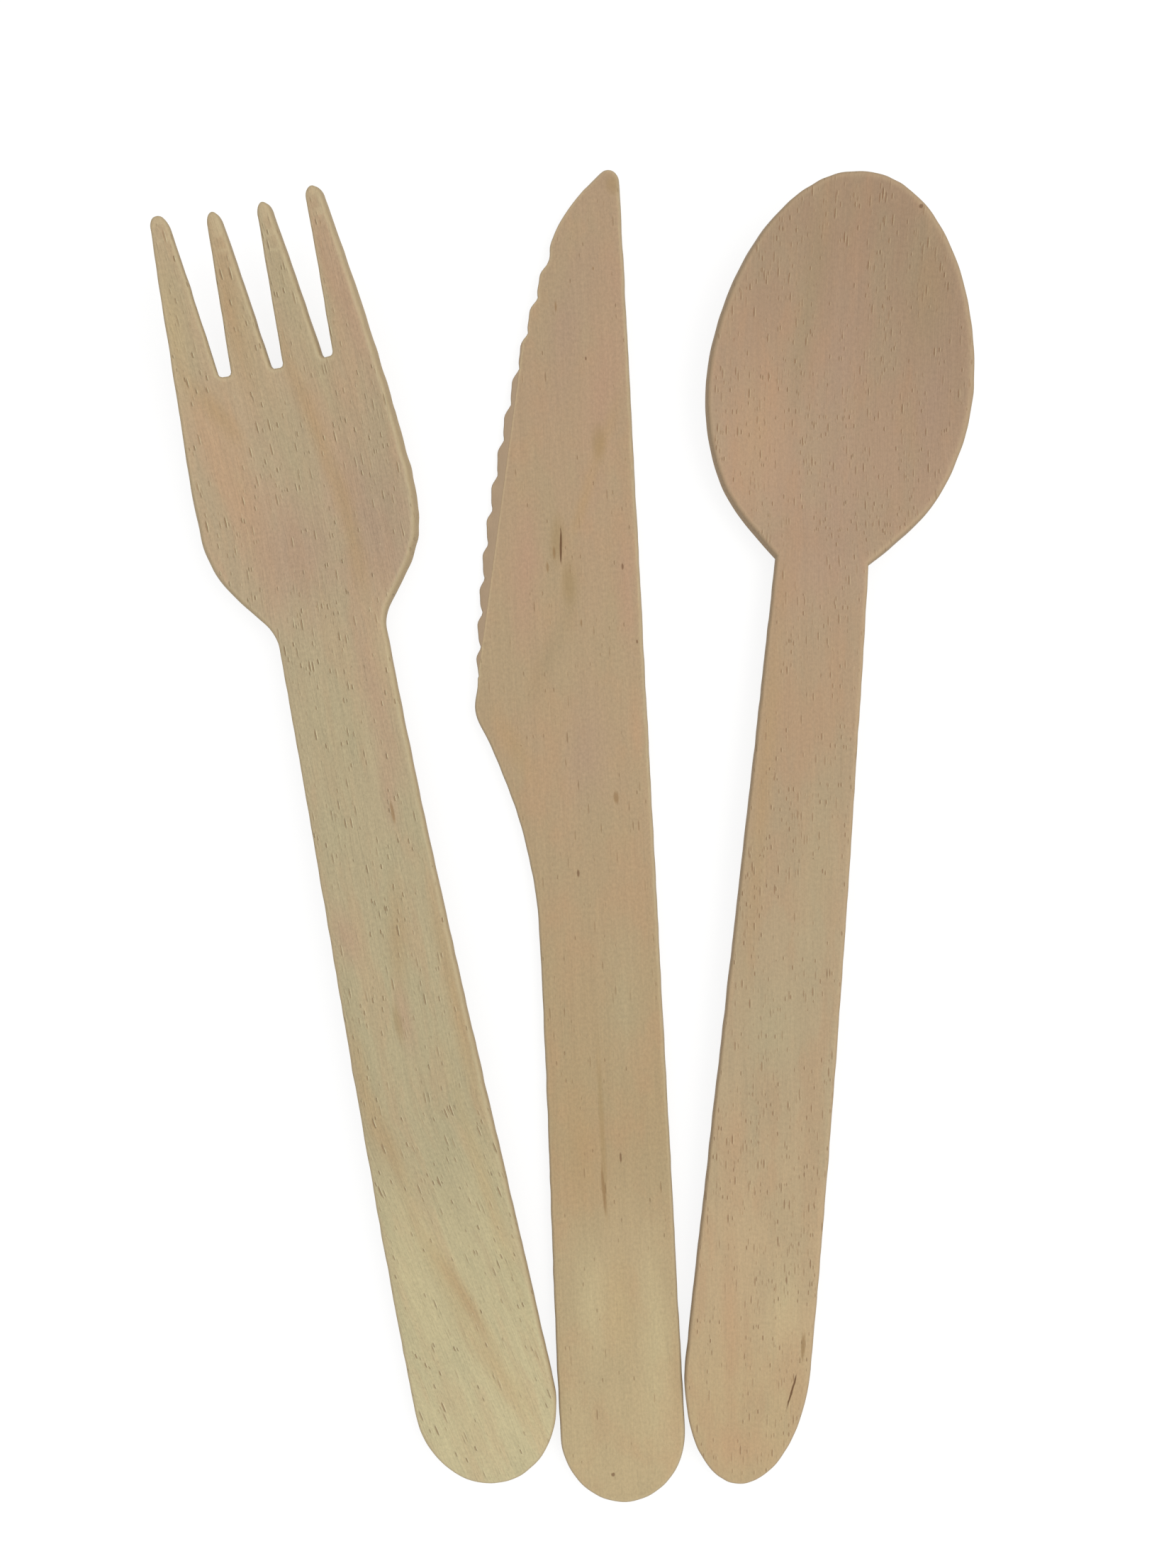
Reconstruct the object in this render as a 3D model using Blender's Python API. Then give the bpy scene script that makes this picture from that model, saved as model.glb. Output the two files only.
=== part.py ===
"""Wooden cutlery set: a fork, a knife and a spoon, each stamped and pressed from one sheet of birch veneer.

The three lie side by side on a table with their handle ends together and their heads fanned out, along +Y.
The origin is at the middle of the set, on the table. Every piece is a closed plate of even thickness: a plan
outline, filled with a net of triangles, is carried onto the pressed surface of that piece, and its edge is
rounded all the way round.
"""

import math

import bmesh
import bpy
import numpy as np
from mathutils.geometry import delaunay_2d_cdt

# Sheet and set, in metres and degrees
SHEET_THICKNESS = 0.0018
EDGE_ROUND = 0.0004
TOUCH_GAP = 0.0003
FORK_LEAN = 11.20
KNIFE_LEAN = 3.01
SPOON_LEAN = -5.18
FORK_END_ABOVE_KNIFE = 0.00254
SPOON_END_ABOVE_KNIFE = 0.00236
NECK_BEND_LENGTH = 0.0080

# Points of each plate: along straight, curved and tight stretches of its outline, and of the net within it
LONG_STEP = 0.0028
OUTLINE_STEP = 0.0014
SHORT_STEP = 0.0010
NET_STEP = 0.0032
NORMAL_STEP = 0.00001

# Fork
FORK_LENGTH = 0.1580
FORK_HEAD_LENGTH = 0.0513
FORK_HANDLE_WIDTH = 0.01746
FORK_END_LENGTH = 0.0106
FORK_NECK_WIDTH = 0.01332
FORK_HEAD_WIDTH = 0.0274
FORK_SHOULDER_LENGTH = 0.01556
FORK_ROOT_WIDTH = 0.02489
FORK_TIPS_WIDTH = 0.02039
TINE_LENGTH = 0.01783
OUTER_TINE_ROOT = 0.00517
INNER_TINE_ROOT = 0.00499
OUTER_TINE_TIP = 0.00179
INNER_TINE_TIP = 0.00147
TINE_CAP = 0.0015
INNER_TINE_SHORTER = 0.0004
GAP_CORNER = 0.0004
COMB_OFF_CENTRE = 0.0001
FORK_ARCH = 0.0020
FORK_DISH = 0.0024
FORK_RIM_SLOPE = 0.052
FORK_TINE_LIFT = 0.00575

# Knife
KNIFE_LENGTH = 0.1653
KNIFE_HANDLE_WIDTH = 0.01546
KNIFE_END_LENGTH = 0.0086
KNIFE_WAIST_WIDTH = 0.0148
KNIFE_WAIST_FROM_TIP = 0.0941
HEEL_WIDTH = 0.0213
HEEL_FROM_TIP = 0.06595
HEEL_ROUND = 0.0030
TEETH_START = 0.0037
TEETH_START_WIDTH = 0.02075
BELLY_FROM_TIP = 0.0082
BELLY_WIDTH = 0.00863
TIP_RADIUS = 0.00135
TOOTH_PITCH = 0.004285
TOOTH_DEPTH = 0.00052
TOOTH_STEP_SHARE = 0.26
BEVEL_START = 0.0055
BEVEL_START_WIDTH = 0.0204
BEVEL_LENGTH = 0.0420
BEVEL_END_WIDTH = 0.0125
BEVEL_SLOPE = 0.75

# Spoon
SPOON_LENGTH = 0.16045
SPOON_BOWL_LENGTH = 0.0459
SPOON_HANDLE_WIDTH = 0.01542
SPOON_END_LENGTH = 0.0152
SPOON_NECK_WIDTH = 0.01135
SPOON_BOWL_WIDTH = 0.0327
SPOON_TIP_LENGTH = 0.0246
SPOON_HEEL_LENGTH = 0.0219
SPOON_FLANK_LENGTH = 0.0086
SPOON_ARCH = 0.0015
SPOON_DISH = 0.0032
SPOON_RIM_SLOPE = 0.11
SPOON_TIP_LIFT = 0.0009

# Shape shares, with no unit
FORK_TAPER_SLOPES = (-0.015, 0.0)
SPOON_TAPER_SLOPES = (-0.012, -0.0225)
FORK_SHOULDER_KNOT_SHARES = ((0.236, 0.24, 1.84), (0.547, 0.753, 1.25))
FORK_TINE_SLOPES = (-0.103, -0.155)
SPOON_FLANK_SLOPE = 1.05
SPOON_TIP_POWER_RATIOS = (1.8, 2.05)
HEEL_SLOPE = 0.43
HEEL_ROUND_RISE_SHARE = 0.72
TEETH_SLOPES = (-0.035, -0.375)
TIP_SLOPE = -1.15
TIP_EDGE_BACK_SHARE = 0.3
TIP_EDGE_WIDTH_RATIO = 1.74
TOOTH_STEP_MARK_SHARES = (0.35, 0.65)
BEVEL_THINNEST_SHARE = 0.4
DISH_RUN_OUT_SHARE = 0.12
TINE_DISH_SHARE = 0.35
TINE_LIFT_POWER_RATIO = 2.5
TINE_CAP_PARTS = 8
ROUND_MOST_SHARE = 0.4
CORNER_CUT_SHARE = 0.3
SLOPE_NUDGE_SHARE = 0.01

# How densely curves and the net are sampled, with no unit
ROUND_END_POINTS_RATIO = 1.5
ROUND_TIP_POINTS_RATIO = 1.4
NET_OFF_LOOP_SHARE = 0.55
NET_OFF_LINE_SHARE = 0.45
LINE_OFF_LOOP_SHARE = 0.2
SIDE_SAMPLES = 4000

FORK_COLOUR = (0.503, 0.413, 0.262)
KNIFE_COLOUR = (0.473, 0.345, 0.213)
SPOON_COLOUR = (0.445, 0.318, 0.205)


def ease(t):
    """Smooth step from 0 to 1 as t goes from 0 to 1."""
    t = np.clip(t, 0.0, 1.0)
    return t * t * (3.0 - 2.0 * t)


def through(knots, y):
    """Width at y on the smooth curve through the knots, each (y, width, slope)."""
    for (y0, w0, s0), (y1, w1, s1) in zip(knots, knots[1:]):
        if y <= y1:
            break
    span = y1 - y0
    t = min(max((y - y0) / span, 0.0), 1.0)
    start = w0 * (2 * t**3 - 3 * t**2 + 1) + s0 * span * (t**3 - 2 * t**2 + t)
    return start + w1 * (3 * t**2 - 2 * t**3) + s1 * span * (t**3 - t**2)


def round_end(y, half_width, length):
    """Half-width of the half-ellipse that ends a handle."""
    t = min(max(1.0 - y / length, 0.0), 1.0)
    return half_width * math.sqrt(1.0 - t * t)


def stations(start, stop, step=OUTLINE_STEP):
    """Evenly spaced values from start to stop, both included, about one step apart."""
    count = max(2, round(abs(stop - start) / step) + 1)
    return [start + (stop - start) * i / (count - 1) for i in range(count)]


def end_stations(length):
    """Stations along a round handle end, close together at its very end."""
    count = max(4, round(ROUND_END_POINTS_RATIO * length / OUTLINE_STEP))
    return [length * (1.0 - math.cos(0.5 * math.pi * i / count)) for i in range(count + 1)]


def both_sides(half_width, ys):
    """Closed loop of a piece that is the same on both sides, from its handle end up the right side."""
    right = [(half_width(y), y) for y in ys]
    left = [(-x, y) for x, y in reversed(right[1:]) if x > NORMAL_STEP]
    return right + left


def neck_bend(t, handle_slope, head_slope):
    """Height gained t past the neck where one slope turns smoothly into the other."""
    u = np.clip(t / NECK_BEND_LENGTH, 0.0, 1.0)
    turned = NECK_BEND_LENGTH * (u - u**3 + 0.5 * u**4)
    return head_slope * t + (handle_slope - head_slope) * turned


def neck_slope(arch, length, neck_height):
    """Slope of the arched handle where it reaches the neck."""
    return (neck_height - 4.0 * arch) / length


def arched_handle(y, arch, length, neck_height):
    """Height of the handle's underside, from the table at its end up over the arch to the neck."""
    t = np.clip(y / length, 0.0, 1.0)
    return neck_height * t + 4.0 * arch * t * (1.0 - t)


def resting_neck_height(rise, dish, neck, length, arch):
    """Height of the neck at which the lowest point of the head just touches the table."""
    ys = np.linspace(neck, length, 400)
    height = 0.0
    for _ in range(12):
        slope = neck_slope(arch, neck, height)
        height = float(np.max(dish(0.0 * ys, ys) - rise(ys - neck, slope)))
    return height


def fork_neck():
    """The y at which the fork's handle turns into its head."""
    return FORK_LENGTH - FORK_HEAD_LENGTH


def fork_half_width(y):
    """Half the width over the two outer edges of the fork, tines included."""
    neck = fork_neck()
    if y <= FORK_END_LENGTH:
        return round_end(y, 0.5 * FORK_HANDLE_WIDTH, FORK_END_LENGTH)
    narrow = 0.5 * FORK_NECK_WIDTH
    widening = 0.5 * FORK_HEAD_WIDTH - narrow
    knots = [
        (FORK_END_LENGTH, 0.5 * FORK_HANDLE_WIDTH, FORK_TAPER_SLOPES[0]),
        (neck, narrow, FORK_TAPER_SLOPES[1]),
    ]
    for along, across, slope in FORK_SHOULDER_KNOT_SHARES:
        steepness = slope * widening / FORK_SHOULDER_LENGTH
        knots.append((neck + along * FORK_SHOULDER_LENGTH, narrow + across * widening, steepness))
    knots.append((neck + FORK_SHOULDER_LENGTH, 0.5 * FORK_HEAD_WIDTH, 0.0))
    knots.append((FORK_LENGTH - TINE_LENGTH, 0.5 * FORK_ROOT_WIDTH, FORK_TINE_SLOPES[0]))
    knots.append((FORK_LENGTH, 0.5 * FORK_TIPS_WIDTH, FORK_TINE_SLOPES[1]))
    return through(knots, y)


def tine_edges():
    """The x of the comb's eight tine edges, left to right, at the roots of the gaps and at the tips."""
    rows = []
    for overall, outer, inner in (
        (FORK_ROOT_WIDTH, OUTER_TINE_ROOT, INNER_TINE_ROOT),
        (FORK_TIPS_WIDTH, OUTER_TINE_TIP, INNER_TINE_TIP),
    ):
        gap = (overall - 2.0 * outer - 2.0 * inner) / 3.0
        x = -0.5 * overall
        row = []
        for width in (outer, inner, inner, outer):
            row += [x + COMB_OFF_CENTRE, x + width + COMB_OFF_CENTRE]
            x += width + gap
        row[0] -= COMB_OFF_CENTRE
        row[-1] -= COMB_OFF_CENTRE
        rows.append(row)
    return rows


def tine_cap(left, right, top):
    """Rounded tip from the right edge of a tine over to its left edge."""
    middle = 0.5 * (left + right)
    radius = 0.5 * (right - left)
    base = top - TINE_CAP
    angles = [math.pi * i / TINE_CAP_PARTS for i in range(1, TINE_CAP_PARTS)]
    return [(middle + radius * math.cos(a), base + TINE_CAP * math.sin(a)) for a in angles]


def gap_floor(right, left, root):
    """Bottom of the gap between two tines, from its right corner to its left one."""
    corner = CORNER_CUT_SHARE * GAP_CORNER
    return [
        (right - corner, root + corner),
        (right - GAP_CORNER, root),
        (left + GAP_CORNER, root),
        (left + corner, root + corner),
    ]


def comb():
    """Outline of the four tines, from the root of the rightmost one's outer edge to the leftmost one's."""
    root = FORK_LENGTH - TINE_LENGTH
    root_edges, tip_edges = tine_edges()

    def edge(k, y):
        if k == 0:
            return -fork_half_width(y)
        if k == 7:
            return fork_half_width(y)
        return root_edges[k] + (tip_edges[k] - root_edges[k]) * (y - root) / TINE_LENGTH

    points = []
    for tine in (3, 2, 1, 0):
        top = FORK_LENGTH - (INNER_TINE_SHORTER if tine in (1, 2) else 0.0)
        base = top - TINE_CAP
        left, right = 2 * tine, 2 * tine + 1
        foot = [root if k in (0, 7) else root + GAP_CORNER for k in (left, right)]
        points += [(edge(right, y), y) for y in stations(foot[1], base)]
        points += tine_cap(edge(left, base), edge(right, base), top)
        points += [(edge(left, y), y) for y in stations(base, foot[0])]
        if tine > 0:
            points += gap_floor(edge(left, root), edge(left - 1, root), root)
    return points


def fork_outline():
    """Closed plan loop of the fork, anticlockwise from the handle end."""
    belly = fork_neck() + FORK_SHOULDER_LENGTH
    ys = end_stations(FORK_END_LENGTH) + stations(FORK_END_LENGTH, fork_neck(), LONG_STEP)[1:]
    ys += stations(fork_neck(), belly, SHORT_STEP)[1:]
    ys += stations(belly, FORK_LENGTH - TINE_LENGTH)[1:-1]
    side = [(fork_half_width(y), y) for y in ys]
    return side + comb() + [(-x, y) for x, y in reversed(side[1:])]


def fork_dish(x, y):
    """Depth of the hollow pressed into the fork's head, below the line of its two outer edges."""
    neck = fork_neck()
    belly = neck + FORK_SHOULDER_LENGTH
    deepening = ease((y - neck) / FORK_SHOULDER_LENGTH)
    fading = 1.0 - (1.0 - TINE_DISH_SHARE) * ease((y - belly) / (FORK_LENGTH - belly))
    half = np.vectorize(fork_half_width)(np.clip(y, FORK_END_LENGTH, FORK_LENGTH))
    return FORK_DISH * deepening * fading * (1.0 - (x / half) ** 2)


def fork_rise(t, handle_slope):
    """Height that the fork's outer edges gain at t past the neck."""
    lift = FORK_TINE_LIFT * np.maximum(t / FORK_HEAD_LENGTH, 0.0) ** TINE_LIFT_POWER_RATIO
    return neck_bend(t, handle_slope, FORK_RIM_SLOPE) + lift


def fork_surface():
    """Function giving the height of the fork's underside at x, y."""
    neck = fork_neck()
    height = resting_neck_height(fork_rise, fork_dish, neck, FORK_LENGTH, FORK_ARCH)
    slope = neck_slope(FORK_ARCH, neck, height)

    def surface(x, y):
        handle = arched_handle(y, FORK_ARCH, neck, height)
        head = height + fork_rise(y - neck, slope) - fork_dish(x, y)
        return np.where(y < neck, handle, head)

    return surface


def spoon_neck():
    """The y at which the spoon's handle meets its bowl."""
    return SPOON_LENGTH - SPOON_BOWL_LENGTH


def bowl_half_width(y):
    """Half-width of the bowl's oval: a half-ellipse towards the neck, a fuller curve towards the tip."""
    half = 0.5 * SPOON_BOWL_WIDTH
    widest = SPOON_LENGTH - SPOON_TIP_LENGTH
    if y < widest:
        t = min((widest - y) / SPOON_HEEL_LENGTH, 1.0)
        return half * math.sqrt(1.0 - t * t)
    t = min((y - widest) / SPOON_TIP_LENGTH, 1.0)
    across, along = SPOON_TIP_POWER_RATIOS
    return half * (1.0 - t**across) ** (1.0 / along)


def spoon_half_width(y):
    """Half the width of the spoon at y."""
    neck = spoon_neck()
    if y <= SPOON_END_LENGTH:
        return round_end(y, 0.5 * SPOON_HANDLE_WIDTH, SPOON_END_LENGTH)
    if y <= neck:
        wide = (SPOON_END_LENGTH, 0.5 * SPOON_HANDLE_WIDTH, SPOON_TAPER_SLOPES[0])
        return through((wide, (neck, 0.5 * SPOON_NECK_WIDTH, SPOON_TAPER_SLOPES[1])), y)
    top = neck + SPOON_FLANK_LENGTH
    if y >= top:
        return bowl_half_width(y)
    nudge = SLOPE_NUDGE_SHARE * SPOON_FLANK_LENGTH
    slope = (bowl_half_width(top + nudge) - bowl_half_width(top)) / nudge
    corner = (neck, 0.5 * SPOON_NECK_WIDTH, SPOON_FLANK_SLOPE)
    return through((corner, (top, bowl_half_width(top), slope)), y)


def spoon_outline():
    """Closed plan loop of the spoon, anticlockwise from the handle end."""
    neck = spoon_neck()
    widest = SPOON_LENGTH - SPOON_TIP_LENGTH
    ys = end_stations(SPOON_END_LENGTH) + stations(SPOON_END_LENGTH, neck, LONG_STEP)[1:]
    ys += stations(neck, widest)[1:]
    count = round(ROUND_TIP_POINTS_RATIO * SPOON_TIP_LENGTH / OUTLINE_STEP)
    ys += [widest + SPOON_TIP_LENGTH * math.sin(0.5 * math.pi * i / count) for i in range(1, count + 1)]
    return both_sides(spoon_half_width, ys)


def spoon_dish(x, y):
    """Depth of the bowl below its rim, running out softly past the rim."""
    widest = SPOON_LENGTH - SPOON_TIP_LENGTH
    reach = np.where(y < widest, SPOON_HEEL_LENGTH, SPOON_TIP_LENGTH)
    inside = 1.0 - (x / (0.5 * SPOON_BOWL_WIDTH)) ** 2 - ((y - widest) / reach) ** 2
    return SPOON_DISH * 0.5 * (inside + np.sqrt(inside**2 + DISH_RUN_OUT_SHARE**2))


def spoon_rise(t, handle_slope):
    """Height that the rim gains at t past the neck."""
    lift = SPOON_TIP_LIFT * (t / SPOON_BOWL_LENGTH) ** 2
    return neck_bend(t, handle_slope, SPOON_RIM_SLOPE) + lift


def spoon_surface():
    """Function giving the height of the spoon's underside at x, y."""
    neck = spoon_neck()
    height = resting_neck_height(spoon_rise, spoon_dish, neck, SPOON_LENGTH, SPOON_ARCH)
    slope = neck_slope(SPOON_ARCH, neck, height)

    def surface(x, y):
        handle = arched_handle(y, SPOON_ARCH, neck, height)
        head = height + spoon_rise(np.maximum(y - neck, 0.0), slope)
        deepening = ease((y - neck) / NECK_BEND_LENGTH + 0.5)
        return np.where(y < neck, handle, head) - spoon_dish(x, y) * deepening

    return surface


def blade_width(y):
    """Distance from the knife's straight back to its other edge, before the teeth are cut."""
    handle = KNIFE_HANDLE_WIDTH
    heel = KNIFE_LENGTH - HEEL_FROM_TIP
    knots = (
        (KNIFE_END_LENGTH, handle, 0.0),
        (KNIFE_LENGTH - KNIFE_WAIST_FROM_TIP, KNIFE_WAIST_WIDTH, 0.0),
        (heel - HEEL_ROUND, HEEL_WIDTH - HEEL_ROUND_RISE_SHARE * HEEL_SLOPE * HEEL_ROUND, HEEL_SLOPE),
        (heel, HEEL_WIDTH, 0.0),
        (heel + TEETH_START, TEETH_START_WIDTH, TEETH_SLOPES[0]),
        (KNIFE_LENGTH - BELLY_FROM_TIP, BELLY_WIDTH, TEETH_SLOPES[1]),
        (KNIFE_LENGTH - TIP_EDGE_BACK_SHARE * TIP_RADIUS, TIP_EDGE_WIDTH_RATIO * TIP_RADIUS, TIP_SLOPE),
    )
    return through(knots, y)


def tooth_wave(y):
    """Depth of the teeth at y: a long rising flank, then a short step back, from -0.5 to 0.5 of the depth."""
    start = KNIFE_LENGTH - HEEL_FROM_TIP + TEETH_START
    stop = KNIFE_LENGTH - BELLY_FROM_TIP
    if not start < y < stop:
        return 0.0
    phase = ((y - start) / TOOTH_PITCH) % 1.0
    flank = 1.0 - TOOTH_STEP_SHARE
    if phase < flank:
        return TOOTH_DEPTH * (phase / flank - 0.5)
    return TOOTH_DEPTH * (0.5 - float(ease((phase - flank) / TOOTH_STEP_SHARE)))


def tooth_stations(start, stop):
    """Stations along the teeth, from stop back to start, with points on each flank and each step."""
    pitches = (stop - start) / TOOTH_PITCH
    flank = 1.0 - TOOTH_STEP_SHARE
    marks = [0.0, 0.5 * flank, flank] + [flank + mark * TOOTH_STEP_SHARE for mark in TOOTH_STEP_MARK_SHARES]
    places = [i + mark for i in range(math.ceil(pitches)) for mark in marks if i + mark < pitches]
    return [stop] + [start + TOOTH_PITCH * place for place in reversed(places)]


def knife_outline():
    """Closed plan loop of the knife, anticlockwise from its handle end, with its back on x = 0."""
    half = 0.5 * KNIFE_HANDLE_WIDTH
    end = [(round_end(y, half, KNIFE_END_LENGTH), y) for y in end_stations(KNIFE_END_LENGTH)]
    tip_y = KNIFE_LENGTH - TIP_RADIUS
    loop = [(x - half, y) for x, y in end]
    loop += [(0.0, y) for y in stations(KNIFE_END_LENGTH, tip_y, LONG_STEP)[1:]]
    for degrees in range(20, 130, 20):
        a = math.radians(degrees)
        loop.append((TIP_RADIUS * (math.cos(a) - 1.0), tip_y + TIP_RADIUS * math.sin(a)))
    heel = KNIFE_LENGTH - HEEL_FROM_TIP
    start = heel + TEETH_START
    stop = KNIFE_LENGTH - BELLY_FROM_TIP
    ys = stations(KNIFE_LENGTH - TIP_EDGE_BACK_SHARE * TIP_RADIUS, stop, SHORT_STEP)[:-1]
    ys += tooth_stations(start, stop)
    ys += stations(start, heel - HEEL_ROUND, SHORT_STEP)[1:]
    ys += stations(heel - HEEL_ROUND, KNIFE_END_LENGTH, LONG_STEP)[1:]
    loop += [(-blade_width(y) - tooth_wave(y), y) for y in ys]
    return loop + [(-x - half, y) for x, y in reversed(end[1:-1])]


def bevel_line(y):
    """The x of the straight line where the blade's bevel begins, at y."""
    start = KNIFE_LENGTH - HEEL_FROM_TIP + BEVEL_START
    slope = (BEVEL_START_WIDTH - BEVEL_END_WIDTH) / BEVEL_LENGTH
    return -BEVEL_START_WIDTH + slope * (y - start)


def knife_thickness(x, y):
    """Thickness of the knife, which falls away past the bevel line."""
    start = KNIFE_LENGTH - HEEL_FROM_TIP
    beyond = np.where(y > start, np.maximum(bevel_line(y) - x, 0.0), 0.0)
    return np.maximum(SHEET_THICKNESS - BEVEL_SLOPE * beyond, BEVEL_THINNEST_SHARE * SHEET_THICKNESS)


def even_thickness(x, y):
    """Thickness of a plate that is the same all over."""
    return SHEET_THICKNESS + 0.0 * x


def flat_surface(x, y):
    """Height of the underside of a plate that lies flat on the table."""
    return 0.0 * x


def inset(loop, distance):
    """The loop moved inwards by a distance."""
    before = np.roll(loop, 1, axis=0)
    after = np.roll(loop, -1, axis=0)
    first = (loop - before) / np.linalg.norm(loop - before, axis=1, keepdims=True)
    second = (after - loop) / np.linalg.norm(after - loop, axis=1, keepdims=True)
    along = first + second
    along /= np.linalg.norm(along, axis=1, keepdims=True)
    inward = np.stack([-along[:, 1], along[:, 0]], axis=1)
    spread = np.abs(np.sum(np.stack([-first[:, 1], first[:, 0]], axis=1) * inward, axis=1))
    return loop + inward * (distance / np.maximum(spread, 0.8))[:, None]


def inside(points, loop):
    """True for each point that lies within the loop."""
    within = np.zeros(len(points), bool)
    for (x0, y0), (x1, y1) in zip(loop, np.roll(loop, -1, axis=0)):
        if y0 == y1:
            continue
        crossing = (points[:, 1] < y0) != (points[:, 1] < y1)
        at = x0 + (points[:, 1] - y0) * (x1 - x0) / (y1 - y0)
        within ^= crossing & (points[:, 0] < at)
    return within


def clear_of(points, others, distance):
    """True for each point that is at least a distance from all the others."""
    offsets = points[:, None, :] - others[None, :, :]
    return np.min(np.linalg.norm(offsets, axis=2), axis=1) > distance


def net_points(loop, line):
    """Points of the triangle net within a loop, in staggered rows, off the loop and off an inner line."""
    low = loop.min(axis=0)
    high = loop.max(axis=0)
    rows = []
    row_step = NET_STEP * math.sqrt(0.75)
    for j in range(int((high[1] - low[1]) / row_step)):
        shift = 0.5 * NET_STEP * (j % 2)
        xs = np.arange(0.0, high[0] - low[0], NET_STEP) + low[0] + shift
        rows.append(np.stack([xs, np.full_like(xs, low[1] + (j + 0.5) * row_step)], axis=1))
    points = np.concatenate(rows)
    points = points[inside(points, loop)]
    points = points[clear_of(points, loop, NET_OFF_LOOP_SHARE * NET_STEP)]
    if len(line):
        points = points[clear_of(points, line, NET_OFF_LINE_SHARE * NET_STEP)]
    return points


def fill(loop, line):
    """Vertices and triangles of the loop filled with a net, keeping the loop's points first."""
    points = np.concatenate([loop, line, net_points(loop, line)])
    count = len(loop)
    edges = [(i, (i + 1) % count) for i in range(count)]
    made = delaunay_2d_cdt([tuple(p) for p in points], edges, [], 1, 1e-7)
    if len(made[0]) != len(points):
        raise ValueError(f"the outline crosses itself: {len(points)} points became {len(made[0])}")
    return points, made[2]


def pressed(points, level, surface, thickness):
    """Points of a flat outline carried onto the pressed plate, level 0 on its underside and 1 on its top."""
    x, y = points[:, 0], points[:, 1]
    z = surface(x, y)
    falls = [z - surface(x + NORMAL_STEP, y), z - surface(x, y + NORMAL_STEP)]
    normal = np.stack([*falls, np.full_like(z, NORMAL_STEP)], axis=1)
    normal /= np.linalg.norm(normal, axis=1, keepdims=True)
    return np.stack([x, y, z], axis=1) + normal * (level * thickness(x, y))[:, None]


def pressed_plate(name, outline, surface, thickness, line, colour):
    """Closed plate with a rounded edge, as an object of its own."""
    outer = np.array(outline)
    inner = inset(outer, EDGE_ROUND)
    points, triangles = fill(inner, line)
    side = min(EDGE_ROUND / SHEET_THICKNESS, ROUND_MOST_SHARE)
    mesh_data = bmesh.new()

    def add(layer, level):
        return [mesh_data.verts.new(p) for p in pressed(layer, level, surface, thickness)]

    top = add(points, 1.0)
    bottom = add(points, 0.0)
    rings = [top[: len(outer)], add(outer, 1.0 - side), add(outer, side), bottom[: len(outer)]]
    for corners in triangles:
        mesh_data.faces.new([top[i] for i in corners])
        mesh_data.faces.new([bottom[i] for i in reversed(corners)])
    for upper, lower in zip(rings, rings[1:]):
        for i in range(len(outer)):
            j = (i + 1) % len(outer)
            mesh_data.faces.new([upper[j], upper[i], lower[i], lower[j]])
    bmesh.ops.recalc_face_normals(mesh_data, faces=mesh_data.faces)
    mesh = bpy.data.meshes.new(name)
    mesh_data.to_mesh(mesh)
    mesh_data.free()
    mesh.shade_smooth()
    mesh.set_sharp_from_angle(angle=math.radians(30.0))
    mesh.materials.append(birch(name + "_birch", colour))
    piece = bpy.data.objects.new(name, mesh)
    bpy.context.scene.collection.objects.link(piece)
    return piece


def birch(name, colour):
    """Sanded birch veneer."""
    material = bpy.data.materials.new(name)
    material.use_nodes = True
    shader = material.node_tree.nodes["Principled BSDF"]
    shader.inputs["Base Color"].default_value = (*colour, 1.0)
    shader.inputs["Roughness"].default_value = 0.7
    shader.inputs["Metallic"].default_value = 0.0
    return material


def bevel_points(loop):
    """Points along the blade's bevel line, within the loop and just clear of it."""
    start = KNIFE_LENGTH - HEEL_FROM_TIP + BEVEL_START
    ys = np.array(stations(start, start + BEVEL_LENGTH))
    line = np.stack([bevel_line(ys), ys], axis=1)
    line = line[inside(line, loop)]
    return line[clear_of(line, loop, LINE_OFF_LOOP_SHARE * OUTLINE_STEP)]


def make_fork():
    """Fork: handle, neck and dished head with four tines."""
    no_line = np.empty((0, 2))
    return pressed_plate("fork", fork_outline(), fork_surface(), even_thickness, no_line, FORK_COLOUR)


def make_knife():
    """Knife: flat handle and a blade with teeth along its bevelled edge."""
    line = bevel_points(inset(np.array(knife_outline()), EDGE_ROUND))
    return pressed_plate("knife", knife_outline(), flat_surface, knife_thickness, line, KNIFE_COLOUR)


def make_spoon():
    """Spoon: handle, neck and bowl."""
    no_line = np.empty((0, 2))
    return pressed_plate("spoon", spoon_outline(), spoon_surface(), even_thickness, no_line, SPOON_COLOUR)


def turned(outline, lean):
    """The outline turned about its handle end."""
    c, s = math.cos(math.radians(lean)), math.sin(math.radians(lean))
    return np.array(outline) @ np.array([[c, s], [-s, c]])


def side_at(loop, ys, rightmost):
    """The x of the loop's right or left side at each y, or none where the loop doesn't reach."""
    found = np.full(len(ys), -np.inf if rightmost else np.inf)
    for (x0, y0), (x1, y1) in zip(loop, np.roll(loop, -1, axis=0)):
        if y0 == y1:
            continue
        at = x0 + (ys - y0) * (x1 - x0) / (y1 - y0)
        on = (ys - y0) * (ys - y1) <= 0.0
        better = on & ((at > found) if rightmost else (at < found))
        found[better] = at[better]
    return found


def slide_apart(left_loop, right_loop):
    """How far the left loop moves along +X to lie a touch gap from the right one."""
    ys = np.linspace(left_loop[:, 1].min(), left_loop[:, 1].max(), SIDE_SAMPLES)
    space = side_at(right_loop, ys, False) - side_at(left_loop, ys, True)
    return float(np.min(space)) - TOUCH_GAP


def place(piece, x, y, lean, parent):
    """Lay a piece on the table with its handle end at x, y, turned by its lean."""
    piece.location = (x, y, 0.0)
    piece.rotation_euler = (0.0, 0.0, math.radians(lean))
    piece.parent = parent


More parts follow.
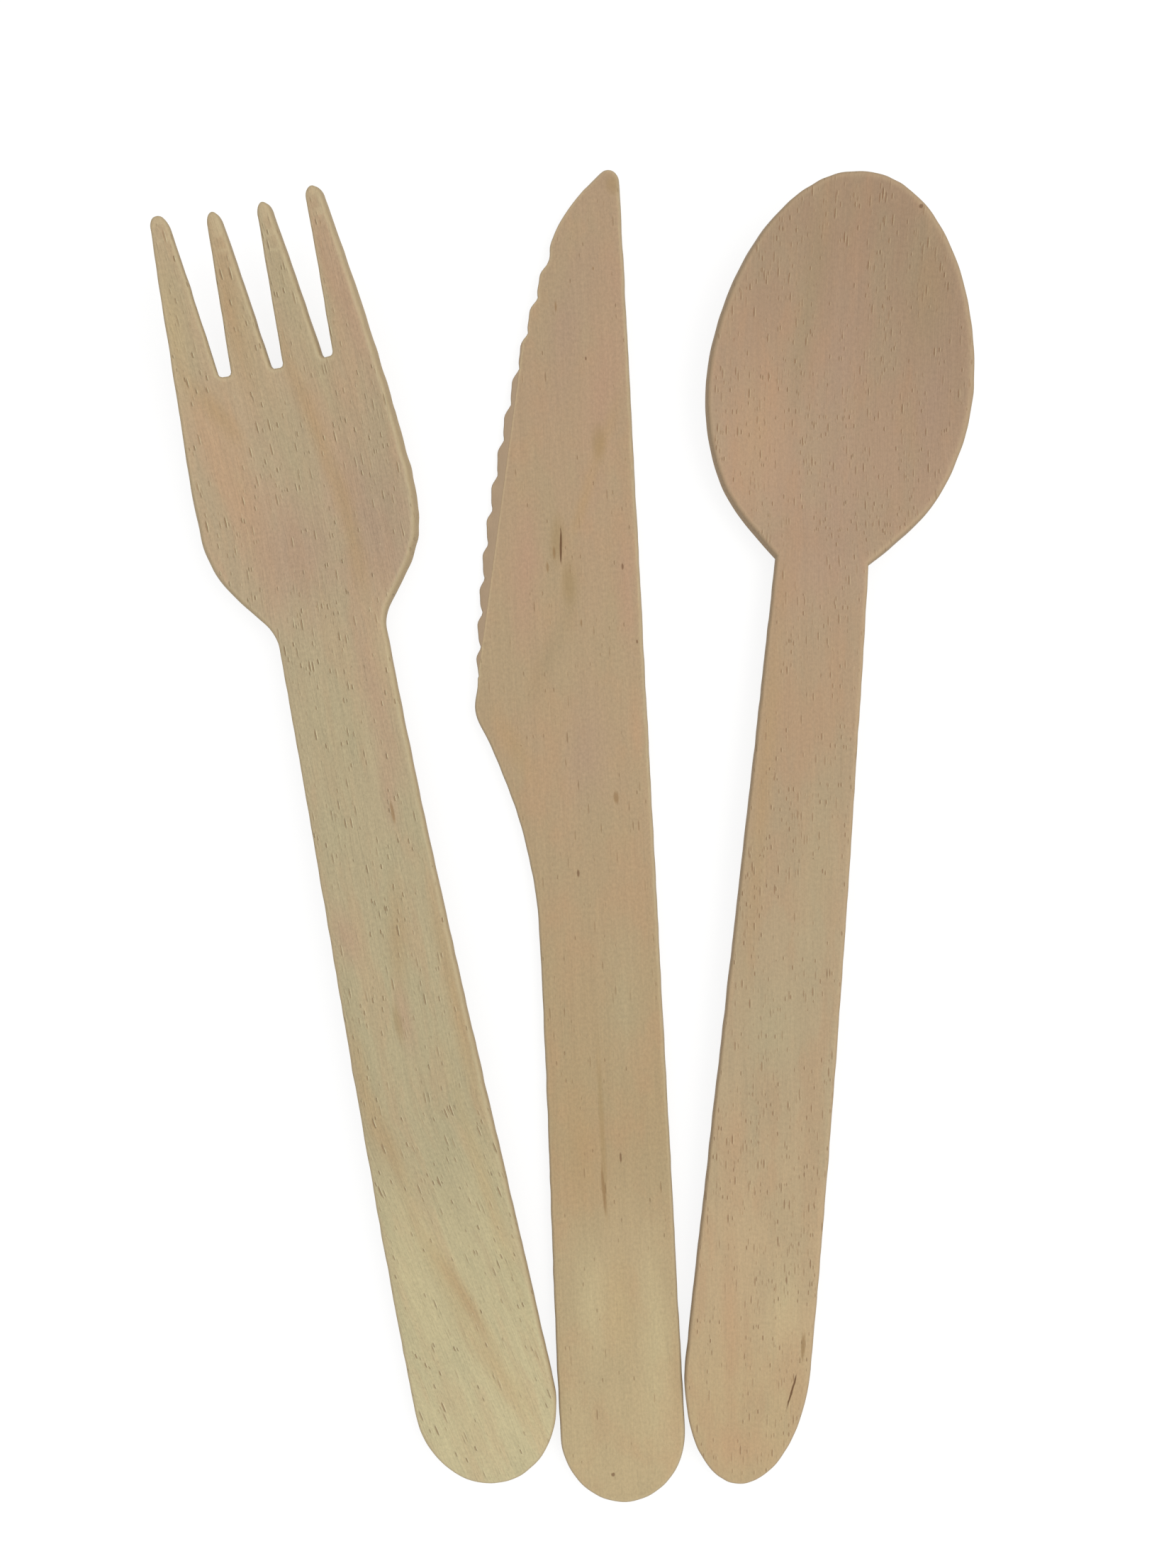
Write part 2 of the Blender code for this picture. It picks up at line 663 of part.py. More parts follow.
def world_box(pieces):
    """Lowest and highest corner of the pieces in their parent's space."""
    corners = []
    for piece in pieces:
        spin = piece.rotation_euler.to_matrix()
        corners += [spin @ v.co + piece.location for v in piece.data.vertices]
    found = np.array(corners)
    return found.min(axis=0), found.max(axis=0)


def build_set():
    """The whole set, laid out on the table."""
    for old in list(bpy.data.objects):
        bpy.data.objects.remove(old)
    set_origin = bpy.data.objects.new("set_origin", None)
    bpy.context.scene.collection.objects.link(set_origin)

    knife_loop = turned(knife_outline(), KNIFE_LEAN)
    knife_low = knife_loop[:, 1].min()
    fork_y = knife_low + FORK_END_ABOVE_KNIFE
    spoon_y = knife_low + SPOON_END_ABOVE_KNIFE
    fork_x = slide_apart(turned(fork_outline(), FORK_LEAN) + (0.0, fork_y), knife_loop)
    spoon_x = -slide_apart(knife_loop, turned(spoon_outline(), SPOON_LEAN) + (0.0, spoon_y))

    knife = make_knife()
    fork = make_fork()
    spoon = make_spoon()
    place(knife, 0.0, 0.0, KNIFE_LEAN, set_origin)
    place(fork, fork_x, fork_y, FORK_LEAN, set_origin)
    place(spoon, spoon_x, spoon_y, SPOON_LEAN, set_origin)
    low, high = world_box([fork, knife, spoon])
    set_origin.location = (-0.5 * (low[0] + high[0]), -0.5 * (low[1] + high[1]), -low[2])


if __name__ == "__main__":
    build_set()
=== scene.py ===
"""Birch cutlery set, dressed: a fork, a knife and a spoon of pressed veneer on a white studio floor.

Lengths are in metres and angles in degrees unless a name ends in _mm. Each piece is drawn in its own plan,
with its handle end at the origin and its axis along +Y. It is then turned by its lean and set where the frame
has it.
"""

import logging
import math
from dataclasses import dataclass, field
from enum import Enum
from typing import Any

import bmesh
import bpy
import numpy as np
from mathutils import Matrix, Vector, noise
from mathutils.geometry import delaunay_2d_cdt


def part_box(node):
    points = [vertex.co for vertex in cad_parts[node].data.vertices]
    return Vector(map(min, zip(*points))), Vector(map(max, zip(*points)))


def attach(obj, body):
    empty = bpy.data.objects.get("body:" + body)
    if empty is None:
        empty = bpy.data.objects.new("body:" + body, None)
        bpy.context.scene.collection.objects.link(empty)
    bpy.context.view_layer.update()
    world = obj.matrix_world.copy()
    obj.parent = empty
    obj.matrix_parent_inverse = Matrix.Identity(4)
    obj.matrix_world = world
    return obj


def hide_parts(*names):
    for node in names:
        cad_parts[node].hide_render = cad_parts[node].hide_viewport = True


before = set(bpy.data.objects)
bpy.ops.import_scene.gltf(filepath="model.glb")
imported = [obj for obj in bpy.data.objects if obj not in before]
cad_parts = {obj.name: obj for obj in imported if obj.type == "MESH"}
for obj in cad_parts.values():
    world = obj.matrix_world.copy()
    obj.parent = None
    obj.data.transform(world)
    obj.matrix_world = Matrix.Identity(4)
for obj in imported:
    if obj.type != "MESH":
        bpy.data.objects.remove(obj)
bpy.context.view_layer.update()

LOG = logging.getLogger("cutlery")

# How far apart the points of a mesh are: along an outline, along the teeth, and across a face
OUTLINE_STEP = 0.0005
TEETH_STEP = 0.00036
NET_STEP = 0.0011
# How much denser the points are round a handle's end than along a straight
END_DENSITY = 1.5
# How near the net may come to the rim and to a guide line, as shares of its step
NET_OFF_RIM = 0.5
NET_OFF_GUIDE = 0.4
# Points closer than this are one point
MERGE_GAP = 1e-7
# Step over which the slope of a pressed face is measured
NORMAL_STEP = 0.00001
# A rim's corner moves no further inwards than 1 / MITRE_LIMIT of its distance
MITRE_LIMIT = 0.8
# Bevel distance of a place that has no bevel near it
NO_BEVEL_MM = -9.0
# Distances between many points are worked out in this many batches, to save memory
BATCHES = 16

Knot = tuple[float, float, float]
Loop = list[tuple[float, float]]
Socket = bpy.types.NodeSocket


def linear(code: str) -> tuple[float, float, float, float]:
    """Turn an sRGB hex colour into the linear colour that a shader takes.

    Args:
        code: The colour as six hex digits, such as "c8b08a".

    Returns:
        Linear red, green and blue, and an alpha of one.
    """
    channels = [int(code[i:i + 2], 16) / 255.0 for i in (0, 2, 4)]
    bent = [c / 12.92 if c <= 0.04045 else ((c + 0.055) / 1.055) ** 2.4 for c in channels]
    return (bent[0], bent[1], bent[2], 1.0)


def add_node(tree: bpy.types.NodeTree, kind: str, settings: dict[str, Any], inputs: dict[Any, Any]) -> Any:
    """Add one node with its settings, its constants and its links.

    Args:
        tree: The node tree that gets the node.
        kind: The node's type.
        settings: Properties of the node, by name.
        inputs: What each input gets, by name or number: a constant, or another node's output socket.

    Returns:
        The new node.
    """
    node = tree.nodes.new(kind)
    for name, value in settings.items():
        setattr(node, name, value)
    for key, value in inputs.items():
        if isinstance(value, Socket):
            tree.links.new(value, node.inputs[key])
        else:
            node.inputs[key].default_value = value
    return node


def ease(t: Any) -> Any:
    """Smooth step from 0 to 1 as t goes from 0 to 1, for a number or an array."""
    t = np.clip(t, 0.0, 1.0)
    return t * t * (3.0 - 2.0 * t)


def through(knots: list[Knot], y: float) -> float:
    """Follow a smooth curve through knots.

    Args:
        knots: Each knot's place, value and slope, in order.
        y: The place asked for.

    Returns:
        The curve's value at y.
    """
    for (y0, w0, s0), (y1, w1, s1) in zip(knots, knots[1:]):
        if y <= y1:
            break
    span = y1 - y0
    t = min(max((y - y0) / span, 0.0), 1.0)
    start = w0 * (2 * t**3 - 3 * t**2 + 1) + s0 * span * (t**3 - 2 * t**2 + t)
    return start + w1 * (3 * t**2 - 2 * t**3) + s1 * span * (t**3 - t**2)


def stations(start: float, stop: float, step: float = OUTLINE_STEP) -> list[float]:
    """Evenly spaced values from start to stop, both included, about one step apart."""
    count = max(2, round(abs(stop - start) / step) + 1)
    return [start + (stop - start) * i / (count - 1) for i in range(count)]


def end_stations(length: float) -> list[float]:
    """Stations along a round handle end, close together at its very end."""
    count = round(END_DENSITY * length / OUTLINE_STEP)
    return [length * (1.0 - math.cos(0.5 * math.pi * i / count)) for i in range(count + 1)]


def round_end(y: float, half_width: float, length: float) -> float:
    """Half-width at y of the half-ellipse that ends a handle."""
    t = min(max(1.0 - y / length, 0.0), 1.0)
    return half_width * math.sqrt(1.0 - t * t)


def inside(points: np.ndarray, loop: np.ndarray) -> np.ndarray:
    """Find which points lie within a loop.

    Args:
        points: Plan points, one a row.
        loop: The closed loop's corners, one a row.

    Returns:
        True for each point within the loop.
    """
    within = np.zeros(len(points), bool)
    for (x0, y0), (x1, y1) in zip(loop, np.roll(loop, -1, axis=0)):
        if y0 == y1:
            continue
        crossing = (points[:, 1] < y0) != (points[:, 1] < y1)
        at = x0 + (points[:, 1] - y0) * (x1 - x0) / (y1 - y0)
        within ^= crossing & (points[:, 0] < at)
    return within


def nearest(points: np.ndarray, others: np.ndarray) -> tuple[np.ndarray, np.ndarray]:
    """Find the nearest of some others to each point.

    Args:
        points: Plan points, one a row.
        others: The points that they are measured to.

    Returns:
        The distance to the nearest other, and its index, for each point.
    """
    gaps, indices = [], []
    for part in np.array_split(points, BATCHES):
        away = np.linalg.norm(part[:, None] - others[None], axis=2)
        gaps.append(away.min(axis=1))
        indices.append(away.argmin(axis=1))
    return np.concatenate(gaps), np.concatenate(indices)


@dataclass(frozen=True)
class Look:
    """How one kind of mark shows.

    The colour is sRGB hex and the share is how much it covers the wood. The mark fades from its full share at
    `near` to nothing at `far`, both as multiples of its half-size. A band is broad and its edge wanders with
    the wood's clouds, and a small mark's edge is fibrous.
    """

    colour: str
    share: float
    near: float = 0.2
    far: float = 2.6
    band: bool = True


class MarkKind(Enum):
    """Kinds of mark and of tinted band that birch veneer carries."""

    FLECK = Look("6b4726", 0.70, 1.0, 1.6, False)
    STREAK = Look("8d6b3f", 0.60, 0.9, 1.7, False)
    CRACK = Look("63401c", 0.90, 1.0, 1.5, False)
    SMUDGE = Look("9a7f50", 0.40, 0.8, 2.2, False)
    OCHRE = Look("b3946a", 0.55)
    ORANGE = Look("bf9873", 0.45)
    ROSY = Look("b89077", 0.45)
    MAUVE = Look("aa8f7a", 0.40)
    GREEN = Look("b0a582", 0.45)
    SAGE = Look("9c8b69", 0.40)
    HONEY = Look("c0a97c", 0.50)
    STRAW = Look("cabd92", 0.45)


@dataclass(frozen=True)
class Mark:
    """One natural mark or tinted band on the wood: an ellipse in the piece's own plan."""

    kind: MarkKind
    x_mm: float
    y_mm: float
    width_mm: float
    length_mm: float
    lean: float = 0.0


@dataclass(frozen=True)
class Streaks:
    """One layer of the wood's figure: streaks along the grain, with a typical width and length."""

    width_mm: float
    length_mm: float
    detail: float
    seed: float
    roughness: float = 0.55
    distortion: float = 0.15


@dataclass(frozen=True)
class SandedBirch:
    """Rotary-cut birch veneer, cut with a die, pressed hot to shape and drum-sanded.

    The eye gets a matt ground that turns from pinkish tan at the head to straw at the handle's end, wandering
    warmer and cooler patches, fine fibres, and short dark pores along the grain, each with a painted
    highlight on the raised lip to its right, towards the lamp. The rim is crushed pale fibres with a painted
    highlight that is stronger on the right, and the wall where the die went through is browner, darkened
    further as painted shade.

    Real fibres are about 0.03 mm wide and real pores 0.05 to 0.1 mm. Both would vanish in the render, so
    fibres, nap and pores are drawn as coarse as they need to show.
    """

    name: str
    tones: tuple[tuple[float, str], ...]
    warm: str
    cool: str
    pore: str
    lip_highlight: str
    rim: str
    # The wall's colour is browner than the face: partly the cut's own colour, partly painted shade
    wall: str
    # Painted light: the bevel's colour is paler than the face, to lift the shade it gets facing away from the
    # lamp
    bevel: str = "b9a083"
    # Layers of the figure, widest first. A span is where a pattern starts to show and where it shows in full.
    patches: Streaks = Streaks(3.2, 24.0, 3.0, 3.0)
    clouds: Streaks = Streaks(4.5, 11.0, 2.0, 11.0)
    strands: Streaks = Streaks(0.55, 14.0, 2.0, 17.0)
    fibres: Streaks = Streaks(0.18, 3.0, 3.0, 29.0)
    nap: Streaks = Streaks(0.30, 0.42, 2.0, 41.0)
    warm_share: float = 0.25
    warm_span: tuple[float, float] = (0.46, 0.64)
    cool_share: float = 0.25
    cool_span: tuple[float, float] = (0.42, 0.68)
    # How much fibres, strands and nap lighten and darken the wood
    shade_span: tuple[float, float] = (0.25, 0.75)
    fibre_depth: float = 0.04
    strand_share: float = 0.8
    nap_depth: float = 0.05
    # Which share of the cells hold a pore, in a group of pores and between groups, and how dark a pore is
    pore_share: float = 0.6
    pore_share_between: float = 0.1
    pore_group_span: tuple[float, float] = (0.35, 0.65)
    pore_span: tuple[float, float] = (0.32, 0.16)
    pore_mm: tuple[float, float] = (0.36, 2.8)
    short_pore_mm: tuple[float, float] = (0.26, 1.1)
    pore_depth: float = 0.5
    # The raised lip to the right of each pore, towards the lamp: a painted highlight in its colour,
    # and real relief in the bump
    lip_mm: float = 0.15
    lip_highlight_share: float = 0.3
    # The pale rim, crushed fibres with a painted highlight that is stronger on the right, towards the lamp:
    # its width, its frayed inner side, and how much it shows at the left and at the right
    rim_mm: float = 0.45
    rim_share: float = 0.5
    rim_fade_mm: tuple[float, float] = (0.55, 0.3)
    rim_fray_mm: float = 0.6
    rim_highlight_by_side: tuple[float, float] = (0.5, 1.2)
    # The cut wall's browner colour is partly its own and partly painted shade
    wall_share: float = 0.85
    # The bevel's ground, painted paler than the face to lift the shade it gets facing away from the lamp, and
    # a painted highlight along the arris just before it
    bevel_share: float = 0.9
    bevel_fade_mm: float = 0.14
    arris_share: float = 0.25
    arris_fade_mm: tuple[float, float] = (-0.30, -0.05)
    # Sanded wood is matt, a little less so along its pressed fibres
    roughness: float = 0.66
    roughness_play: tuple[float, float] = (-0.06, 0.08)
    roughness_span: tuple[float, float] = (0.3, 0.7)
    # The relief: its full height, and nap, lips and pores as shares of the fibres'
    bump_mm: float = 0.05
    nap_height: float = 0.5
    lip_height: float = 0.4
    pore_height: float = -0.7
    # A mark goes right through the sheet
    mark_depth_mm: float = 1000.0
    marks: tuple[Mark, ...] = ()

    def streaks(self, tree: bpy.types.NodeTree, grain: Socket, layer: Streaks) -> Socket:
        """Draw noise out along the grain.

        Args:
            tree: The material's node tree.
            grain: The place in the wood, in millimetres, +Y along the grain.
            layer: The size, detail and seed of the streaks.

        Returns:
            Output from 0 to 1, about 0.5 on average.
        """
        scale = (1.0 / layer.width_mm, 1.0 / layer.length_mm, 1.0 / layer.width_mm)
        shift = (layer.seed, 2.0 * layer.seed, 0.0)
        placed = add_node(tree, "ShaderNodeMapping", {}, {"Vector": grain, "Location": shift, "Scale": scale})
        made = add_node(tree, "ShaderNodeTexNoise", {},
                        {"Vector": placed.outputs[0], "Scale": 1.0, "Detail": layer.detail,
                         "Roughness": layer.roughness, "Distortion": layer.distortion})
        return made.outputs["Fac"]

    def pores_of(self, tree: bpy.types.NodeTree, grain: Socket, clouds: Socket, size_mm: tuple[float, float],
                 shift_mm: float) -> Socket:
        """Draw open vessels of one length along the grain.

        Args:
            tree: The material's node tree.
            grain: The place in the wood.
            clouds: Output from 0 to 1 that gathers the pores in groups.
            size_mm: Width and length of the patch of wood that can hold one pore.
            shift_mm: How far to the right of the pores the pattern is drawn.

        Returns:
            Output from 0, sound wood, to 1, the middle of a pore.
        """
        scale = (1.0 / size_mm[0], 1.0 / size_mm[1], 1.0)
        shift = (-shift_mm / size_mm[0], 0.0, 0.0)
        placed = add_node(tree, "ShaderNodeMapping", {}, {"Vector": grain, "Location": shift, "Scale": scale})
        cells = add_node(tree, "ShaderNodeTexVoronoi", {"voronoi_dimensions": "3D", "feature": "F1"},
                         {"Vector": placed.outputs[0], "Scale": 1.0, "Randomness": 1.0})
        spot = add_node(tree, "ShaderNodeMapRange", {"interpolation_type": "SMOOTHSTEP"},
                        {"Value": cells.outputs["Distance"], "From Min": self.pore_span[0],
                         "From Max": self.pore_span[1]})
        tint = add_node(tree, "ShaderNodeSeparateColor", {}, {"Color": cells.outputs["Color"]})
        limit = add_node(tree, "ShaderNodeMapRange", {},
                         {"Value": clouds, "From Min": self.pore_group_span[0],
                          "From Max": self.pore_group_span[1],
                          "To Min": self.pore_share_between * self.pore_share, "To Max": self.pore_share})
        kept = add_node(tree, "ShaderNodeMath", {"operation": "LESS_THAN"},
                        {0: tint.outputs[0], 1: limit.outputs[0]})
        uneven = add_node(tree, "ShaderNodeMath", {"operation": "MULTIPLY"},
                          {0: kept.outputs[0], 1: tint.outputs[1]})
        deep = add_node(tree, "ShaderNodeMath", {"operation": "MULTIPLY"},
                        {0: spot.outputs[0], 1: uneven.outputs[0]})
        return deep.outputs[0]

    def pores(self, tree: bpy.types.NodeTree, grain: Socket, clouds: Socket, shift_mm: float) -> Socket:
        """Draw long and short open vessels together.

        Args:
            tree: The material's node tree.
            grain: The place in the wood.
            clouds: Output from 0 to 1 that gathers the pores in groups.
            shift_mm: How far to the right of the pores the pattern is drawn.

        Returns:
            Output from 0, sound wood, to 1, the middle of a pore.
        """
        long, short = (self.pores_of(tree, grain, clouds, size, shift_mm)
                       for size in (self.pore_mm, self.short_pore_mm))
        return add_node(tree, "ShaderNodeMath", {"operation": "MAXIMUM"}, {0: long, 1: short}).outputs[0]

    def laid(self, tree: bpy.types.NodeTree, under: Socket, over: str, pattern: Socket,
             span: tuple[float, float], share: float | Socket, curve: str = "SMOOTHSTEP") -> Socket:
        """Lay a colour over another wherever a pattern is strong.

        Args:
            tree: The material's node tree.
            under: The colour beneath.
            over: The colour that is laid on, as sRGB hex.
            pattern: Where it is laid.
            span: The pattern's values at which none of it and the whole share of it shows.
            share: How much of it shows at most.
            curve: How it grows from the one to the other.

        Returns:
            The mixed colour.
        """
        cover = add_node(tree, "ShaderNodeMapRange", {"interpolation_type": curve},
                         {"Value": pattern, "From Min": span[0], "From Max": span[1], "To Max": share})
        made = add_node(tree, "ShaderNodeMix", {"data_type": "RGBA"},
                        {0: cover.outputs[0], 6: under, 7: linear(over)})
        return made.outputs[2]

    def marked(self, tree: bpy.types.NodeTree, plan: Socket, ragged: Socket, colour: Socket,
               bands: bool) -> Socket:
        """Lay this piece's tinted bands, or its small natural marks, over a colour.

        Args:
            tree: The material's node tree.
            plan: The place in the piece's plan, in millimetres.
            ragged: Output from 0 to 1 that breaks up the marks' edges.
            colour: The colour beneath.
            bands: True for the tinted bands, false for the small marks.

        Returns:
            The marked colour.
        """
        for mark in self.marks:
            look = mark.kind.value
            if look.band != bands:
                continue
            size = (mark.width_mm / 2, mark.length_mm / 2, self.mark_depth_mm)
            placed = add_node(tree, "ShaderNodeMapping", {"vector_type": "TEXTURE"},
                              {"Vector": plan, "Location": (mark.x_mm, mark.y_mm, 0.0),
                               "Rotation": (0.0, 0.0, math.radians(mark.lean)), "Scale": size})
            away = add_node(tree, "ShaderNodeVectorMath", {"operation": "LENGTH"}, {0: placed.outputs[0]})
            torn = add_node(tree, "ShaderNodeMath", {"operation": "ADD"},
                            {0: ragged, 1: away.outputs["Value"]})
            colour = self.laid(tree, colour, look.colour, torn.outputs[0], (look.far, look.near), look.share)
        return colour

    def ground(self, tree: bpy.types.NodeTree, plan: Socket) -> Socket:
        """Colour the wood from the handle's end to the head.

        Args:
            tree: The material's node tree.
            plan: The place in the piece's plan.

        Returns:
            The colour.
        """
        last = self.tones[-1][0]
        place = add_node(tree, "ShaderNodeSeparateXYZ", {}, {0: plan})
        along = add_node(tree, "ShaderNodeMath", {"operation": "DIVIDE"}, {0: place.outputs["Y"], 1: last})
        ramp = add_node(tree, "ShaderNodeValToRGB", {}, {0: along.outputs[0]})
        ramp.color_ramp.interpolation = "EASE"
        stops = ramp.color_ramp.elements
        stops[0].position, stops[1].position = self.tones[0][0] / last, 1.0
        stops[0].color, stops[1].color = linear(self.tones[0][1]), linear(self.tones[-1][1])
        for y_mm, code in self.tones[1:-1]:
            stops.new(y_mm / last).color = linear(code)
        return ramp.outputs["Color"]

    def edged(self, tree: bpy.types.NodeTree, fibres: Socket, colour: Socket) -> Socket:
        """Lay the pale rim, crushed fibres with a painted highlight stronger towards the right, over a
        colour.

        Args:
            tree: The material's node tree.
            fibres: Output from 0 to 1 that frays the rim.
            colour: The colour beneath.

        Returns:
            The colour with its rim.
        """
        rim, right = (add_node(tree, "ShaderNodeAttribute", {"attribute_name": name}, {}).outputs["Fac"]
                      for name in ("rim_mm", "right"))
        frayed = add_node(tree, "ShaderNodeMath", {"operation": "MULTIPLY_ADD"},
                          {0: fibres, 1: self.rim_fray_mm, 2: rim})
        # Painted highlight: the rim shows less on the left side and more on the right, towards the lamp
        lit = add_node(tree, "ShaderNodeMapRange", {},
                       {"Value": right, "From Min": -1.0, "From Max": 1.0,
                        "To Min": self.rim_highlight_by_side[0] * self.rim_share,
                        "To Max": self.rim_highlight_by_side[1] * self.rim_share})
        span = (self.rim_mm + self.rim_fade_mm[0], self.rim_fade_mm[1])
        return self.laid(tree, colour, self.rim, frayed.outputs[0], span, lit.outputs[0])

    def bevelled(self, tree: bpy.types.NodeTree, colour: Socket) -> Socket:
        """Lay the bevel's ground, painted paler to lift its shade, and a painted arris highlight over a
        colour.

        Args:
            tree: The material's node tree.
            colour: The colour beneath.

        Returns:
            The colour with its bevel.
        """
        bevel = add_node(tree, "ShaderNodeAttribute", {"attribute_name": "bevel_mm"}, {}).outputs["Fac"]
        # Painted light: the bevel is paler than the face, to lift its shade
        colour = self.laid(tree, colour, self.bevel, bevel, (0.0, self.bevel_fade_mm), self.bevel_share)
        # Painted highlight along the arris just before the bevel, in the rim's colour
        before = add_node(tree, "ShaderNodeMath", {"operation": "LESS_THAN"}, {0: bevel, 1: 0.0})
        share = add_node(tree, "ShaderNodeMath", {"operation": "MULTIPLY"},
                         {0: before.outputs[0], 1: self.arris_share})
        return self.laid(tree, colour, self.rim, bevel, self.arris_fade_mm, share.outputs[0])

    def build(self) -> bpy.types.Material:
        """Make the material.

        Returns:
            The finished birch.
        """
        material = bpy.data.materials.new(self.name)
        material.use_nodes = True
        tree = material.node_tree
        shader = tree.nodes["Principled BSDF"]
        plan, grain = (add_node(tree, "ShaderNodeAttribute", {"attribute_name": name}, {}).outputs["Vector"]
                       for name in ("plan_mm", "grain_mm"))
        wall = add_node(tree, "ShaderNodeAttribute", {"attribute_name": "wall"}, {}).outputs["Fac"]
        layers = (self.patches, self.clouds, self.strands, self.fibres, self.nap)
        patches, clouds, strands, fibres, nap = (self.streaks(tree, grain, layer) for layer in layers)
        pores = self.pores(tree, grain, clouds, 0.0)
        # The lips to the right of the pores: a painted highlight in the colour, real relief in the bump
        lips = self.pores(tree, grain, clouds, self.lip_mm)

        colour = self.ground(tree, plan)
        colour = self.laid(tree, colour, self.warm, patches, self.warm_span, self.warm_share)
        colour = self.laid(tree, colour, self.cool, clouds, self.cool_span, self.cool_share)
        colour = self.marked(tree, plan, clouds, colour, True)
        shade = 1.0
        for pattern, depth in ((fibres, self.fibre_depth), (strands, self.strand_share * self.fibre_depth),
                               (nap, self.nap_depth)):
            level = add_node(tree, "ShaderNodeMapRange", {},
                             {"Value": pattern, "From Min": self.shade_span[0],
                              "From Max": self.shade_span[1], "To Min": 1.0 - depth, "To Max": 1.0 + depth})
            shade = add_node(tree, "ShaderNodeMath", {"operation": "MULTIPLY"},
                             {0: level.outputs[0], 1: shade}).outputs[0]
        colour = add_node(tree, "ShaderNodeMix", {"data_type": "RGBA", "blend_type": "MULTIPLY"},
                          {0: 1.0, 6: colour, 7: shade}).outputs[2]
        colour = self.edged(tree, fibres, colour)
        # Painted highlight on the raised lip to the right of each pore, towards the lamp
        colour = self.laid(tree, colour, self.lip_highlight, lips, (0.0, 1.0), self.lip_highlight_share, "LINEAR")
        colour = self.laid(tree, colour, self.pore, pores, (0.0, 1.0), self.pore_depth, "LINEAR")
        colour = self.marked(tree, plan, fibres, colour, False)
        colour = self.bevelled(tree, colour)
        # The cut wall: its own browner colour, darkened further as painted shade
        colour = self.laid(tree, colour, self.wall, wall, (0.0, 1.0), self.wall_share, "LINEAR")
        tree.links.new(colour, shader.inputs["Base Color"])

        matt = add_node(tree, "ShaderNodeMapRange", {},
                        {"Value": fibres, "From Min": self.roughness_span[0],
                         "From Max": self.roughness_span[1],
                         "To Min": self.roughness + self.roughness_play[0],
                         "To Max": self.roughness + self.roughness_play[1]})
        tree.links.new(matt.outputs[0], shader.inputs["Roughness"])
        height = fibres
        for pattern, share in ((nap, self.nap_height), (lips, self.lip_height), (pores, self.pore_height)):
            height = add_node(tree, "ShaderNodeMath", {"operation": "MULTIPLY_ADD"},
                              {0: pattern, 1: share, 2: height}).outputs[0]
        bump = add_node(tree, "ShaderNodeBump", {},
                        {"Strength": 1.0, "Distance": self.bump_mm / 1000.0, "Height": height})
        tree.links.new(bump.outputs[0], shader.inputs["Normal"])
        return material


